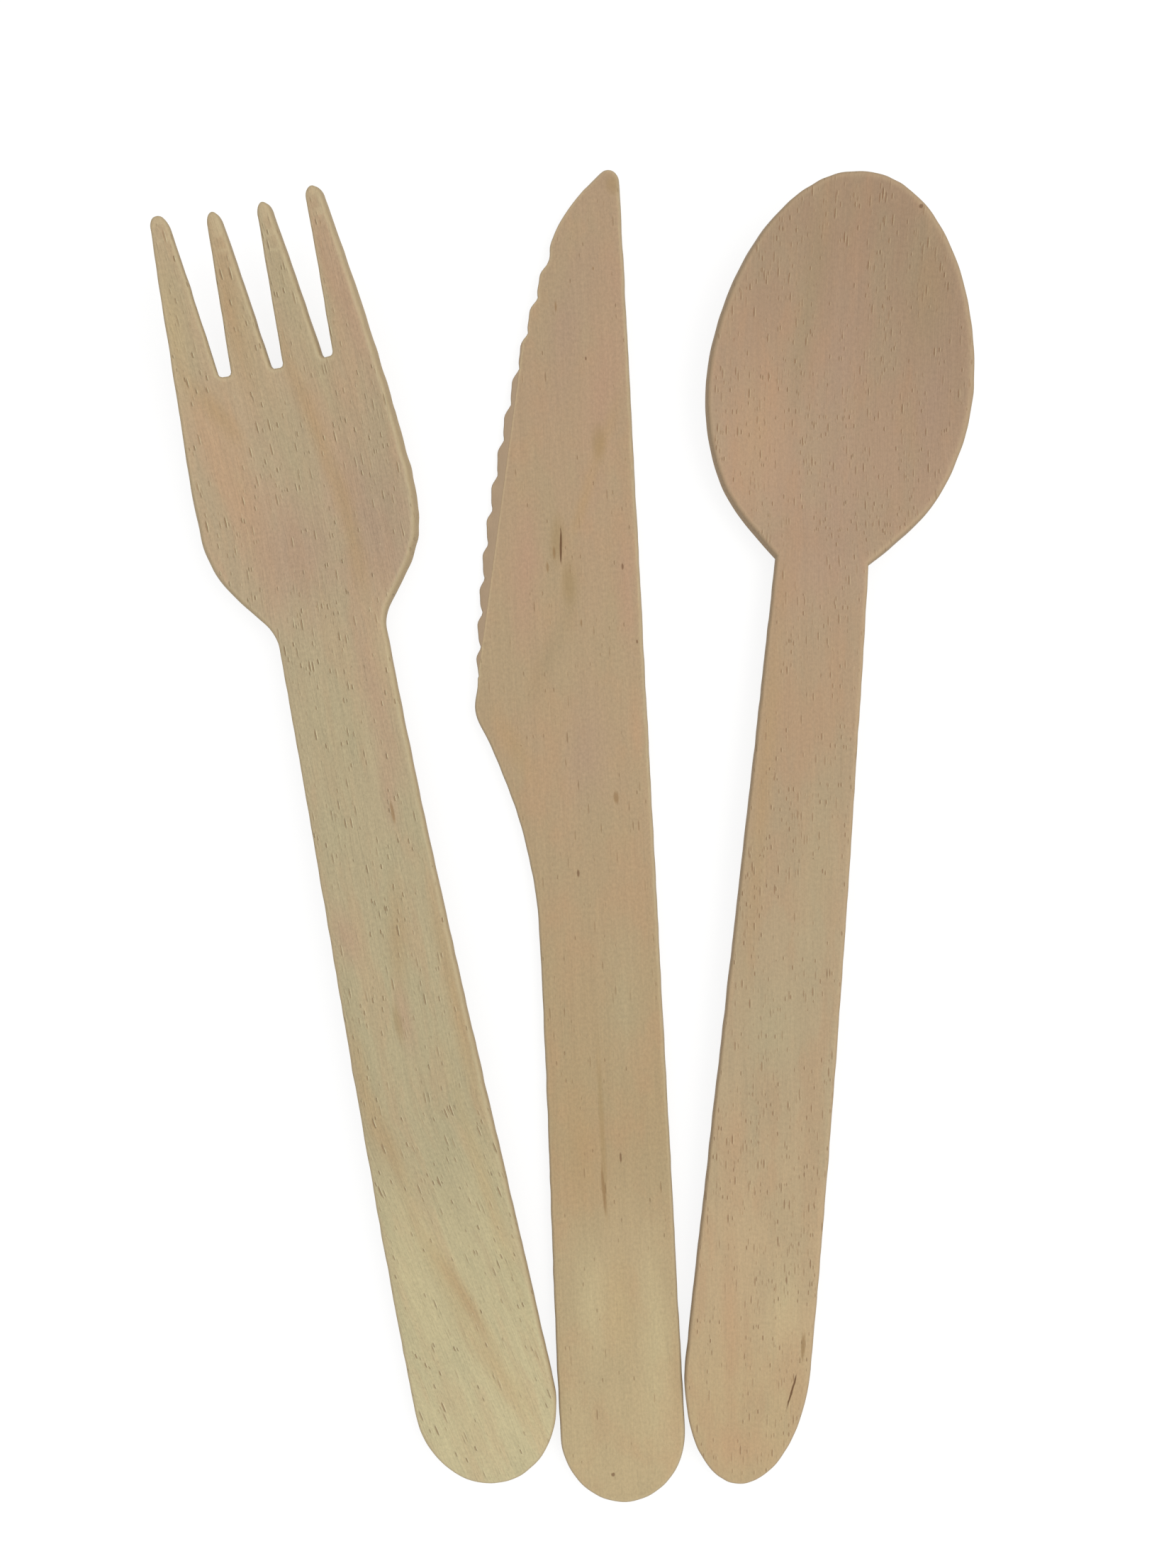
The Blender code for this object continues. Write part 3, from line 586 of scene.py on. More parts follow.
@dataclass
class Plate:
    """A piece pressed from one sheet: a plan outline filled with a net and carried onto a pressed surface."""

    node: str
    slot: str
    lean: float
    finish: SandedBirch
    thickness: float = 0.0018
    # The rounded rim: its width, its points from face to wall, and its height as a share of the sheet at most
    edge_round: float = 0.00035
    profile_steps: int = 3
    rim_fall_share: float = 0.42
    # Faces that aren't quite flat after pressing, and fibres torn by the die
    wave: float = 0.00004
    waves_per_metre: tuple[float, float] = (90.0, 35.0)
    tear: float = 0.00002
    tear_gain: float = 2.0
    tear_smoothings: int = 3
    seed: int = 1
    # Edges sharper than this show as creases
    crease: float = 180.0

    def outline(self) -> Loop:
        """Closed plan loop of the piece, anticlockwise."""
        raise NotImplementedError

    def underside(self, x: np.ndarray, y: np.ndarray) -> np.ndarray:
        """Height of the piece's lower face at x, y."""
        return 0.0 * x

    def depth(self, x: np.ndarray, y: np.ndarray) -> np.ndarray:
        """Thickness of the piece at x, y."""
        return self.thickness + 0.0 * x

    def rounding(self, loop: np.ndarray) -> np.ndarray:
        """Width of the rounded rim at each corner of the outline."""
        return np.full(len(loop), self.edge_round)

    def raggedness(self, loop: np.ndarray) -> np.ndarray:
        """How far torn fibres shift each corner of the outline."""
        return np.full(len(loop), self.tear)

    def guide(self, loop: np.ndarray) -> np.ndarray:
        """Extra points that the net has to follow, such as a crease."""
        return np.empty((0, 2))

    def grain(self, places: np.ndarray) -> np.ndarray:
        """Places in the wood, with +Y along its grain, for places in the plan, in millimetres."""
        return places

    def past_bevel(self, places: np.ndarray) -> np.ndarray:
        """How far each place lies past the line where a bevel begins, in millimetres."""
        return np.full(len(places), NO_BEVEL_MM)

    def inset(self, loop: np.ndarray, distance: np.ndarray) -> np.ndarray:
        """Move a loop inwards.

        Args:
            loop: The loop's corners.
            distance: How far each corner moves.

        Returns:
            The moved corners.
        """
        before = np.roll(loop, 1, axis=0)
        after = np.roll(loop, -1, axis=0)
        first = (loop - before) / np.linalg.norm(loop - before, axis=1, keepdims=True)
        second = (after - loop) / np.linalg.norm(after - loop, axis=1, keepdims=True)
        along = first + second
        along /= np.linalg.norm(along, axis=1, keepdims=True)
        inward = np.stack([-along[:, 1], along[:, 0]], axis=1)
        spread = np.abs(np.sum(np.stack([-first[:, 1], first[:, 0]], axis=1) * inward, axis=1))
        return loop + inward * (distance / np.maximum(spread, MITRE_LIMIT))[:, None]

    def torn(self, loop: np.ndarray) -> np.ndarray:
        """Roughen an outline as the die's cut leaves it.

        Args:
            loop: The clean outline.

        Returns:
            The outline with small waves where fibres tore.
        """
        random = np.random.default_rng(self.seed)
        shift = random.normal(size=len(loop))
        for _ in range(self.tear_smoothings):
            shift = 0.25 * np.roll(shift, 1) + 0.5 * shift + 0.25 * np.roll(shift, -1)
        return self.inset(loop, self.tear_gain * shift * self.raggedness(loop))

    def net(self, loop: np.ndarray, guide: np.ndarray) -> np.ndarray:
        """Staggered net points within a loop.

        Args:
            loop: The loop to fill.
            guide: Points that the net keeps clear of.

        Returns:
            The net's points.
        """
        low = loop.min(axis=0)
        high = loop.max(axis=0)
        row_step = NET_STEP * math.sqrt(0.75)
        rows = []
        for j in range(int((high[1] - low[1]) / row_step)):
            xs = np.arange(low[0], high[0], NET_STEP) + 0.5 * NET_STEP * (j % 2)
            rows.append(np.stack([xs, np.full_like(xs, low[1] + (j + 0.5) * row_step)], axis=1))
        points = np.concatenate(rows)
        points = points[inside(points, loop)]
        points = points[nearest(points, loop)[0] > NET_OFF_RIM * NET_STEP]
        if len(guide):
            points = points[nearest(points, guide)[0] > NET_OFF_GUIDE * NET_STEP]
        return points

    def carried(self, points: np.ndarray, level: np.ndarray) -> np.ndarray:
        """Carry plan points onto the pressed sheet.

        Args:
            points: Plan points.
            level: Where each lies through the sheet, 0 on the lower face and 1 on the upper.

        Returns:
            The points in space.
        """
        x, y = points[:, 0], points[:, 1]
        z = self.underside(x, y)
        falls = [z - self.underside(x + NORMAL_STEP, y), z - self.underside(x, y + NORMAL_STEP)]
        normal = np.stack([*falls, np.full_like(z, NORMAL_STEP)], axis=1)
        normal /= np.linalg.norm(normal, axis=1, keepdims=True)
        across, along = self.waves_per_metre
        waves = [noise.noise(Vector((across * a, along * b, self.seed))) for a, b in zip(x, y)]
        placed = np.stack([x, y, z + self.wave * np.array(waves)], axis=1)
        return placed + normal * (level * self.depth(x, y))[:, None]

    def rings(self, outer: np.ndarray, width: np.ndarray) -> list[tuple[np.ndarray, np.ndarray, float]]:
        """Lay out the rings of points that carry the rounded rim from the upper face to the lower one.

        Args:
            outer: The piece's outline.
            width: Width of the rounded rim at each of its corners.

        Returns:
            Each ring's distance from the outline, its level through the sheet and its share in the cut wall.
        """
        sheet = self.depth(outer[:, 0], outer[:, 1])
        upper = []
        for i in range(1, self.profile_steps + 1):
            angle = 0.5 * math.pi * i / self.profile_steps
            fall = np.minimum(width, self.rim_fall_share * sheet) * (1.0 - math.cos(angle)) / sheet
            upper.append((width * (1.0 - math.sin(angle)), 1.0 - fall, math.sin(angle)))
        return upper + [(gap, 1.0 - level, share) for gap, level, share in reversed(upper)]

    def mesh(self) -> bpy.types.Mesh:
        """Build the piece's closed mesh: a net on each face, and rings round the rim between them.

        Returns:
            The mesh, with what the finish reads stored on its points.
        """
        outer = self.torn(np.array(self.outline()))
        width = self.rounding(outer)
        inner = self.inset(outer, width)
        guide = self.guide(inner)
        flat = np.concatenate([inner, guide, self.net(inner, guide)])
        count = len(outer)
        edges = [(i, (i + 1) % count) for i in range(count)]
        made = delaunay_2d_cdt([tuple(p) for p in flat], edges, [], 1, MERGE_GAP)
        if len(made[0]) != len(flat):
            raise ValueError(f"{self.node}: the rim crosses itself, {len(flat)} points became {len(made[0])}")

        layers = [(flat, np.ones(len(flat)), np.zeros(len(flat)))]
        layers += [(self.inset(outer, gap), level, np.full(count, share))
                   for gap, level, share in self.rings(outer, width)]
        layers += [(flat, np.zeros(len(flat)), np.zeros(len(flat)))]
        build = bmesh.new()
        rows, places, wall = [], [], []
        for points, level, share in layers:
            rows.append([build.verts.new(p) for p in self.carried(points, level)])
            places.append(np.column_stack([1000.0 * points, 1000.0 * level * self.thickness]))
            wall.append(share)
        for corners in made[2]:
            build.faces.new([rows[0][i] for i in corners])
            build.faces.new([rows[-1][i] for i in reversed(corners)])
        for upper, lower in zip(rows, rows[1:]):
            for i, j in edges:
                build.faces.new([upper[j], upper[i], lower[i], lower[j]])
        bmesh.ops.recalc_face_normals(build, faces=build.faces)
        mesh = bpy.data.meshes.new(self.node + "_pressed")
        build.to_mesh(mesh)
        build.free()
        mesh.shade_smooth()
        mesh.set_sharp_from_angle(angle=math.radians(self.crease))
        self.note(mesh, np.concatenate(places), np.concatenate(wall), outer)
        return mesh

    def note(self, mesh: bpy.types.Mesh, places: np.ndarray, wall: np.ndarray, outer: np.ndarray) -> None:
        """Store on every point of the mesh what the finish reads there.

        Args:
            mesh: The finished mesh.
            places: Each point's place in the plan and through the sheet, in millimetres.
            wall: How much each point belongs to the cut wall.
            outer: The piece's outline.
        """
        rim, corner = nearest(places[:, :2] / 1000.0, outer)
        # How much the nearest stretch of outline faces +X, which sets where the painted rim highlight is
        # stronger
        along = np.roll(outer, -1, axis=0) - np.roll(outer, 1, axis=0)
        right = along[:, 1] / np.linalg.norm(along, axis=1)
        floats = {"rim_mm": 1000.0 * rim, "wall": wall, "right": right[corner],
                  "bevel_mm": self.past_bevel(places)}
        for name, values in floats.items():
            mesh.attributes.new(name, "FLOAT", "POINT").data.foreach_set("value", values)
        for name, values in (("plan_mm", places), ("grain_mm", self.grain(places))):
            mesh.attributes.new(name, "FLOAT_VECTOR", "POINT").data.foreach_set("vector", values.ravel())

    def build(self) -> bpy.types.Object:
        """Make the piece, dress it and set it where the frame has it.

        Returns:
            The piece's object.
        """
        mesh = self.mesh()
        mesh.materials.append(self.finish.build())
        piece = bpy.data.objects.new(self.node + "_veneer", mesh)
        bpy.context.scene.collection.objects.link(piece)
        piece.rotation_euler = (0.0, 0.0, math.radians(self.lean))
        spin = np.array(piece.rotation_euler.to_matrix())
        corners = np.array([v.co for v in mesh.vertices]) @ spin.T
        middle = 0.5 * (corners.min(axis=0) + corners.max(axis=0))
        low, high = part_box(self.node)
        piece.location = (0.5 * (low[0] + high[0]) - middle[0], 0.5 * (low[1] + high[1]) - middle[1],
                          low[2] - corners[:, 2].min())
        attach(piece, "root")
        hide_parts(self.node)
        LOG.info("%s: %d faces, at %.4f, %.4f", piece.name, len(mesh.polygons), *piece.location[:2])
        return piece


@dataclass
class ArchedPlate(Plate):
    """A pressed plate whose handle arches up from its end and comes down to a head on the table."""

    length: float = 0.16
    head_length: float = 0.05
    arch: float = 0.002
    rim_slope: float = 0.05
    neck_bend: float = 0.008
    head_samples: int = 400
    settling_rounds: int = 12
    neck_height: float = field(default=0.0, init=False)

    def __post_init__(self) -> None:
        """Find the height of the neck at which the head just touches the table."""
        ys = np.linspace(self.neck, self.length, self.head_samples)
        for _ in range(self.settling_rounds):
            drop = self.dish(0.0 * ys, ys) - self.rise(ys - self.neck)
            self.neck_height = float(np.max(drop))

    @property
    def neck(self) -> float:
        """The y at which the handle turns into the head."""
        return self.length - self.head_length

    def dish(self, x: np.ndarray, y: np.ndarray) -> np.ndarray:
        """Depth of the hollow pressed into the head."""
        raise NotImplementedError

    def rise(self, t: np.ndarray) -> np.ndarray:
        """Turn the handle's slope into that of the head's rim.

        Args:
            t: Distance past the neck.

        Returns:
            The height that the head's rim has gained there.
        """
        handle_slope = (self.neck_height - 4.0 * self.arch) / self.neck
        u = np.clip(t / self.neck_bend, 0.0, 1.0)
        bent = self.neck_bend * (u - u**3 + 0.5 * u**4)
        return self.rim_slope * t + (handle_slope - self.rim_slope) * bent

    def handle_height(self, y: np.ndarray) -> np.ndarray:
        """Height of the handle's lower face, from the table at its end up over the arch to the neck."""
        t = np.clip(y / self.neck, 0.0, 1.0)
        return self.neck_height * t + 4.0 * self.arch * t * (1.0 - t)


@dataclass
class Fork(ArchedPlate):
    """Fork: handle, neck and a shallow dished head with four tines."""

    length: float = 0.1580
    head_length: float = 0.0513
    handle_width: float = 0.01746
    end_length: float = 0.0106
    neck_width: float = 0.01332
    head_width: float = 0.0274
    shoulder_length: float = 0.01556
    root_width: float = 0.02489
    tips_width: float = 0.02039
    tine_length: float = 0.01783
    outer_tine: tuple[float, float] = (0.00517, 0.00179)
    inner_tine: tuple[float, float] = (0.00499, 0.00147)
    tine_cap: float = 0.0015
    inner_shorter: float = 0.0004
    gap_corner: float = 0.0004
    off_centre: float = 0.0001
    arch: float = 0.0020
    dish_depth: float = 0.0024
    rim_slope: float = 0.052
    tine_lift: float = 0.00575
    lift_power: float = 2.5
    tine_dish_share: float = 0.35
    # How steeply the edge runs in or out along the handle, the shoulder and the tines
    handle_slopes: tuple[float, float] = (-0.015, 0.0)
    shoulder_knots: tuple[Knot, ...] = ((0.236, 0.24, 1.84), (0.547, 0.753, 1.25))
    tine_slopes: tuple[float, float] = (-0.103, -0.155)
    # The corner between two tines is cut off once more, and a tine's round end has this many points
    corner_cut: float = 0.3
    cap_points: int = 17
    # The rim is softer along the handle and more torn along the right shoulder
    handle_softer: float = 0.0001
    fade: float = 0.006
    shoulder_tear: float = 2.5
    tear_end_from_tip: float = 0.016
    figure_swing: float = 0.17
    swing_below_mm: float = 48.0

    def half_width(self, y: float) -> float:
        """Measure the fork from its axis to its outer edge, tines included.

        Args:
            y: The place along the fork.

        Returns:
            Half of its width there.
        """
        if y <= self.end_length:
            return round_end(y, 0.5 * self.handle_width, self.end_length)
        narrow = 0.5 * self.neck_width
        widening = 0.5 * self.head_width - narrow
        knots = [(self.end_length, 0.5 * self.handle_width, self.handle_slopes[0]),
                 (self.neck, narrow, self.handle_slopes[1])]
        for along, across, slope in self.shoulder_knots:
            steepness = slope * widening / self.shoulder_length
            knots.append((self.neck + along * self.shoulder_length, narrow + across * widening, steepness))
        knots.append((self.neck + self.shoulder_length, 0.5 * self.head_width, 0.0))
        knots.append((self.length - self.tine_length, 0.5 * self.root_width, self.tine_slopes[0]))
        knots.append((self.length, 0.5 * self.tips_width, self.tine_slopes[1]))
        return through(knots, y)

    def tine_edges(self) -> list[list[float]]:
        """Place the eight edges of the four tines.

        Returns:
            Their x from left to right, at the roots and at the tips.
        """
        rows = []
        overalls = (self.root_width, self.tips_width)
        for overall, outer, inner in zip(overalls, self.outer_tine, self.inner_tine):
            gap = (overall - 2.0 * outer - 2.0 * inner) / 3.0
            x = self.off_centre - 0.5 * overall
            row = []
            for width in (outer, inner, inner, outer):
                row += [x, x + width]
                x += width + gap
            rows.append(row)
        return rows

    def edge(self, k: int, y: float) -> float:
        """Follow one edge of a tine.

        Args:
            k: The edge, from 0 on the left to 7 on the right.
            y: The place along the fork.

        Returns:
            The edge's x there.
        """
        if k == 0:
            return -self.half_width(y)
        if k == 7:
            return self.half_width(y)
        at_root, at_tip = self.tine_edges()
        share = (y - self.length + self.tine_length) / self.tine_length
        return at_root[k] + (at_tip[k] - at_root[k]) * share

    def comb(self) -> Loop:
        """Draw the four tines, from the outer root of the rightmost to that of the leftmost.

        Returns:
            The points of their outline.
        """
        root = self.length - self.tine_length
        corner = self.corner_cut * self.gap_corner
        points: Loop = []
        for tine in (3, 2, 1, 0):
            top = self.length - (self.inner_shorter if tine in (1, 2) else 0.0)
            base = top - self.tine_cap
            left, right = 2 * tine, 2 * tine + 1
            feet = [root if k in (0, 7) else root + self.gap_corner for k in (left, right)]
            points += [(self.edge(right, y), y) for y in stations(feet[1], base)]
            middle = 0.5 * (self.edge(left, base) + self.edge(right, base))
            radius = 0.5 * (self.edge(right, base) - self.edge(left, base))
            for angle in np.linspace(0.0, math.pi, self.cap_points)[1:-1]:
                points.append((middle + radius * math.cos(angle), base + self.tine_cap * math.sin(angle)))
            points += [(self.edge(left, y), y) for y in stations(base, feet[0])]
            if tine:
                x_right, x_left = self.edge(left, root), self.edge(left - 1, root)
                points += [(x_right - corner, root + corner), (x_right - self.gap_corner, root)]
                points += [(x_left + self.gap_corner, root), (x_left + corner, root + corner)]
        return points

    def outline(self) -> Loop:
        """Draw the fork.

        Returns:
            Its closed plan loop, anticlockwise from the handle end.
        """
        ys = end_stations(self.end_length) + stations(self.end_length, self.neck)[1:]
        ys += stations(self.neck, self.length - self.tine_length)[1:-1]
        side = [(self.half_width(y), y) for y in ys]
        return side + self.comb() + [(-x, y) for x, y in reversed(side[1:])]

    def dish(self, x: np.ndarray, y: np.ndarray) -> np.ndarray:
        """Hollow the head between its two outer edges, less so towards the tips.

        Args:
            x: Places across the fork.
            y: Places along it.

        Returns:
            Depth below the line of the outer edges.
        """
        belly = self.neck + self.shoulder_length
        deepening = ease((y - self.neck) / self.shoulder_length)
        fading = 1.0 - (1.0 - self.tine_dish_share) * ease((y - belly) / (self.length - belly))
        half = np.array([self.half_width(v) for v in np.clip(y, self.end_length, self.length)])
        return self.dish_depth * deepening * fading * (1.0 - (x / half) ** 2)

    def rise(self, t: np.ndarray) -> np.ndarray:
        """Height that the outer edges gain at t past the neck, with the tines lifting towards their tips."""
        return super().rise(t) + self.tine_lift * np.maximum(t / self.head_length, 0.0) ** self.lift_power

    def underside(self, x: np.ndarray, y: np.ndarray) -> np.ndarray:
        """Height of the fork's lower face."""
        head = self.neck_height + self.rise(y - self.neck) - self.dish(x, y)
        return np.where(y < self.neck, self.handle_height(y), head)

    def rounding(self, loop: np.ndarray) -> np.ndarray:
        """Rim width: softer along the handle, finer between the tines."""
        fine = ease((loop[:, 1] - self.neck - self.shoulder_length) / self.fade)
        return self.edge_round + self.handle_softer - self.handle_softer * fine

    def grain(self, places: np.ndarray) -> np.ndarray:
        """Swing the wood's figure to one side towards the handle's end.

        Args:
            places: Places in the plan and through the sheet, in millimetres.

        Returns:
            The same places in the wood, with +Y along its grain.
        """
        bent = places.copy()
        bent[:, 0] -= self.figure_swing * np.maximum(self.swing_below_mm - places[:, 1], 0.0)
        return bent

    def raggedness(self, loop: np.ndarray) -> np.ndarray:
        """Tear more fibres along the right shoulder than elsewhere.

        Args:
            loop: The outline's corners.

        Returns:
            How far each corner may be shifted.
        """
        end = self.length - self.tear_end_from_tip
        shoulder = ease((loop[:, 1] - self.neck) / self.fade) * ease((end - loop[:, 1]) / self.fade)
        return self.tear * (1.0 + self.shoulder_tear * shoulder * (loop[:, 0] > 0.0))


@dataclass
class Spoon(ArchedPlate):
    """Spoon: handle, neck and an egg-shaped bowl."""

    length: float = 0.16045
    head_length: float = 0.0459
    handle_width: float = 0.01542
    end_length: float = 0.0152
    neck_width: float = 0.01135
    bowl_width: float = 0.0327
    tip_length: float = 0.0246
    heel_length: float = 0.0219
    flank_length: float = 0.0086
    arch: float = 0.0015
    dish_depth: float = 0.0032
    rim_slope: float = 0.11
    tip_lift: float = 0.0009
    # How steeply the edge runs along the handle and out of the neck
    handle_slopes: tuple[float, float] = (-0.012, -0.0225)
    flank_slope: float = 1.05
    slope_nudge: float = 0.01
    # The bowl's oval is fuller than an ellipse towards its tip
    tip_powers: tuple[float, float] = (1.8, 2.05)
    tip_density: float = 1.4
    least_half_width: float = 1e-6
    run_out: float = 0.12
    grain_lean: float = 5.0

    @property
    def widest(self) -> float:
        """The y at which the bowl is widest."""
        return self.length - self.tip_length

    def grain(self, places: np.ndarray) -> np.ndarray:
        """Lean the wood's figure against the spoon's axis.

        Args:
            places: Places in the plan and through the sheet, in millimetres.

        Returns:
            The same places in the wood, with +Y along its grain.
        """
        turned = places.copy()
        turned[:, 0] += math.tan(math.radians(self.grain_lean)) * places[:, 1]
        return turned

    def bowl_half_width(self, y: float) -> float:
        """Follow the bowl's oval: a half-ellipse towards the neck, a fuller curve towards the tip.

        Args:
            y: The place along the spoon.

        Returns:
            Half of the oval's width there.
        """
        half = 0.5 * self.bowl_width
        if y < self.widest:
            t = min((self.widest - y) / self.heel_length, 1.0)
            return half * math.sqrt(1.0 - t * t)
        t = min((y - self.widest) / self.tip_length, 1.0)
        return half * (1.0 - t ** self.tip_powers[0]) ** (1.0 / self.tip_powers[1])

    def half_width(self, y: float) -> float:
        """Measure the spoon from its axis to its edge.

        Args:
            y: The place along the spoon.

        Returns:
            Half of its width there.
        """
        if y <= self.end_length:
            return round_end(y, 0.5 * self.handle_width, self.end_length)
        if y <= self.neck:
            start = (self.end_length, 0.5 * self.handle_width, self.handle_slopes[0])
            return through([start, (self.neck, 0.5 * self.neck_width, self.handle_slopes[1])], y)
        top = self.neck + self.flank_length
        if y >= top:
            return self.bowl_half_width(y)
        nudge = self.slope_nudge * self.flank_length
        slope = (self.bowl_half_width(top + nudge) - self.bowl_half_width(top)) / nudge
        corner = (self.neck, 0.5 * self.neck_width, self.flank_slope)
        return through([corner, (top, self.bowl_half_width(top), slope)], y)

    def outline(self) -> Loop:
        """Draw the spoon.

        Returns:
            Its closed plan loop, anticlockwise from the handle end.
        """
        ys = end_stations(self.end_length) + stations(self.end_length, self.neck)[1:]
        ys += stations(self.neck, self.widest)[1:]
        count = round(self.tip_density * self.tip_length / OUTLINE_STEP)
        turns = [0.5 * math.pi * i / count for i in range(1, count + 1)]
        ys += [self.widest + self.tip_length * math.sin(turn) for turn in turns]
        right = [(self.half_width(y), y) for y in ys]
        return right + [(-x, y) for x, y in reversed(right[1:]) if x > self.least_half_width]

    def dish(self, x: np.ndarray, y: np.ndarray) -> np.ndarray:
        """Hollow the bowl, running out softly past its rim.

        Args:
            x: Places across the spoon.
            y: Places along it.

        Returns:
            Depth below the rim.
        """
        reach = np.where(y < self.widest, self.heel_length, self.tip_length)
        within = 1.0 - (x / (0.5 * self.bowl_width)) ** 2 - ((y - self.widest) / reach) ** 2
        return self.dish_depth * 0.5 * (within + np.sqrt(within**2 + self.run_out**2))

    def rise(self, t: np.ndarray) -> np.ndarray:
        """Height that the rim gains at t past the neck, curving up a little towards the tip."""
        return super().rise(t) + self.tip_lift * (t / self.head_length) ** 2

    def underside(self, x: np.ndarray, y: np.ndarray) -> np.ndarray:
        """Join the handle's lower face to the bowl's.

        Args:
            x: Places across the spoon.
            y: Places along it.

        Returns:
            Height of the spoon's lower face.
        """
        head = self.neck_height + self.rise(np.maximum(y - self.neck, 0.0))
        deepening = ease((y - self.neck) / self.neck_bend + 0.5)
        return np.where(y < self.neck, self.handle_height(y), head) - self.dish(x, y) * deepening


@dataclass
class Knife(Plate):
    """Knife: flat handle and a blade with a straight back, and teeth along its bevelled edge."""

    length: float = 0.1653
    handle_width: float = 0.01546
    end_length: float = 0.0086
    waist_width: float = 0.0148
    waist_from_tip: float = 0.0941
    heel_width: float = 0.0213
    heel_from_tip: float = 0.06595
    heel_round: float = 0.0030
    teeth_start: float = 0.0037
    teeth_start_width: float = 0.02075
    belly_from_tip: float = 0.0082
    belly_width: float = 0.00863
    tip_radius: float = 0.00135
    # Teeth worn to a slanted wave, which runs out after the last whole one
    tooth_pitch: float = 0.004285
    tooth_depth: float = 0.00058
    tooth_skew: float = 0.65
    tooth_fullness: float = 0.68
    notch_share: float = 0.6
    run_out: float = 0.4
    # The straight line where the bevel begins, and how thin the sheet gets past it
    bevel_start: float = 0.0055
    bevel_start_width: float = 0.0204
    bevel_length: float = 0.0420
    bevel_end_width: float = 0.0125
    bevel_slope: float = 0.75
    thinnest_share: float = 0.4
    upper_from: float = 0.3
    # How steeply the edge runs at the heel, along the teeth and at the tip
    heel_slope: float = 0.43
    heel_rise_share: float = 0.72
    teeth_slopes: tuple[float, float] = (-0.035, -0.375)
    tip_back_share: float = 0.3
    tip_width_ratio: float = 1.74
    tip_slope: float = -1.15
    tip_arc: tuple[int, int, int] = (10, 130, 10)
    guide_off_rim: float = 0.2
    fine_rim_share: float = 0.5
    fine_rim_from: float = 0.004

    @property
    def heel(self) -> float:
        """The y of the blade's heel, its widest place."""
        return self.length - self.heel_from_tip

    def blade_width(self, y: float) -> float:
        """Measure the knife from its straight back to its other edge, before the teeth are cut.

        Args:
            y: The place along the knife.

        Returns:
            Its width there.
        """
        heel_rise = self.heel_rise_share * self.heel_slope * self.heel_round
        knots = [
            (self.end_length, self.handle_width, 0.0),
            (self.length - self.waist_from_tip, self.waist_width, 0.0),
            (self.heel - self.heel_round, self.heel_width - heel_rise, self.heel_slope),
            (self.heel, self.heel_width, 0.0),
            (self.heel + self.teeth_start, self.teeth_start_width, self.teeth_slopes[0]),
            (self.length - self.belly_from_tip, self.belly_width, self.teeth_slopes[1]),
            (self.length - self.tip_back_share * self.tip_radius, self.tip_width_ratio * self.tip_radius,
             self.tip_slope),
        ]
        return through(knots, y)

    def tooth_wave(self, y: float) -> float:
        """Cut a worn tooth: a long full flank, then a short step back to the next notch.

        Args:
            y: The place along the knife.

        Returns:
            How far the tooth stands out from the blade's mean edge there, below 0 in a notch.
        """
        turns = (y - self.heel - self.teeth_start) / self.tooth_pitch
        count = (self.heel_from_tip - self.teeth_start - self.belly_from_tip) // self.tooth_pitch
        if turns <= 0.0:
            return 0.0
        if turns >= count:
            rest = 1.0 - float(ease((turns - count) / self.run_out))
            return -self.notch_share * self.tooth_depth * rest
        turn = 2.0 * math.pi * turns - 0.5 * math.pi
        wave = max(0.5 + 0.5 * math.sin(turn - self.tooth_skew * math.sin(turn)), 0.0)
        return self.tooth_depth * (wave**self.tooth_fullness - self.notch_share)

    def outline(self) -> Loop:
        """Draw the knife, with its back on x = 0.

        Returns:
            Its closed plan loop, anticlockwise from the handle end.
        """
        half = 0.5 * self.handle_width
        end = [(round_end(y, half, self.end_length), y) for y in end_stations(self.end_length)]
        tip_y = self.length - self.tip_radius
        loop = [(x - half, y) for x, y in end]
        loop += [(0.0, y) for y in stations(self.end_length, tip_y)[1:]]
        for degrees in range(*self.tip_arc):
            a = math.radians(degrees)
            loop.append((self.tip_radius * (math.cos(a) - 1.0), tip_y + self.tip_radius * math.sin(a)))
        teeth = self.heel + self.teeth_start
        belly = self.length - self.belly_from_tip
        ys = stations(self.length - self.tip_back_share * self.tip_radius, belly)
        ys += stations(belly, teeth, TEETH_STEP)[1:]
        ys += stations(teeth, self.end_length)[1:]
        loop += [(-self.blade_width(y) - self.tooth_wave(y), y) for y in ys]
        return loop + [(-x - half, y) for x, y in reversed(end[1:-1])]

    def bevel_line(self, y: np.ndarray) -> np.ndarray:
        """The x of the straight line where the bevel begins, at y."""
        slope = (self.bevel_start_width - self.bevel_end_width) / self.bevel_length
        return slope * (y - self.heel - self.bevel_start) - self.bevel_start_width

    def depth(self, x: np.ndarray, y: np.ndarray) -> np.ndarray:
        """Thickness of the knife, which falls away past the bevel line."""
        beyond = np.where(y > self.heel, np.maximum(self.bevel_line(y) - x, 0.0), 0.0)
        return np.maximum(self.thickness - self.bevel_slope * beyond, self.thinnest_share * self.thickness)

    def past_bevel(self, places: np.ndarray) -> np.ndarray:
        """Measure from the line where the bevel begins, on the blade's upper part.

        Args:
            places: Places in the plan and through the sheet, in millimetres.

        Returns:
            How far each place lies past the line, in millimetres, and below 0 before it.
        """
        past = 1000.0 * self.bevel_line(places[:, 1] / 1000.0) - places[:, 0]
        upper = places[:, 2] > 1000.0 * self.upper_from * self.thickness
        return np.where((places[:, 1] > 1000.0 * self.heel) & upper, past, NO_BEVEL_MM)

    def guide(self, loop: np.ndarray) -> np.ndarray:
        """Lay points along the bevel line.

        Args:
            loop: The loop that they stay within.

        Returns:
            The points that lie within the loop and just clear of it.
        """
        start = self.heel + self.bevel_start
        ys = np.array(stations(start, start + self.bevel_length))
        line = np.stack([self.bevel_line(ys), ys], axis=1)
        line = line[inside(line, loop)]
        return line[nearest(line, loop)[0] > self.guide_off_rim * OUTLINE_STEP]

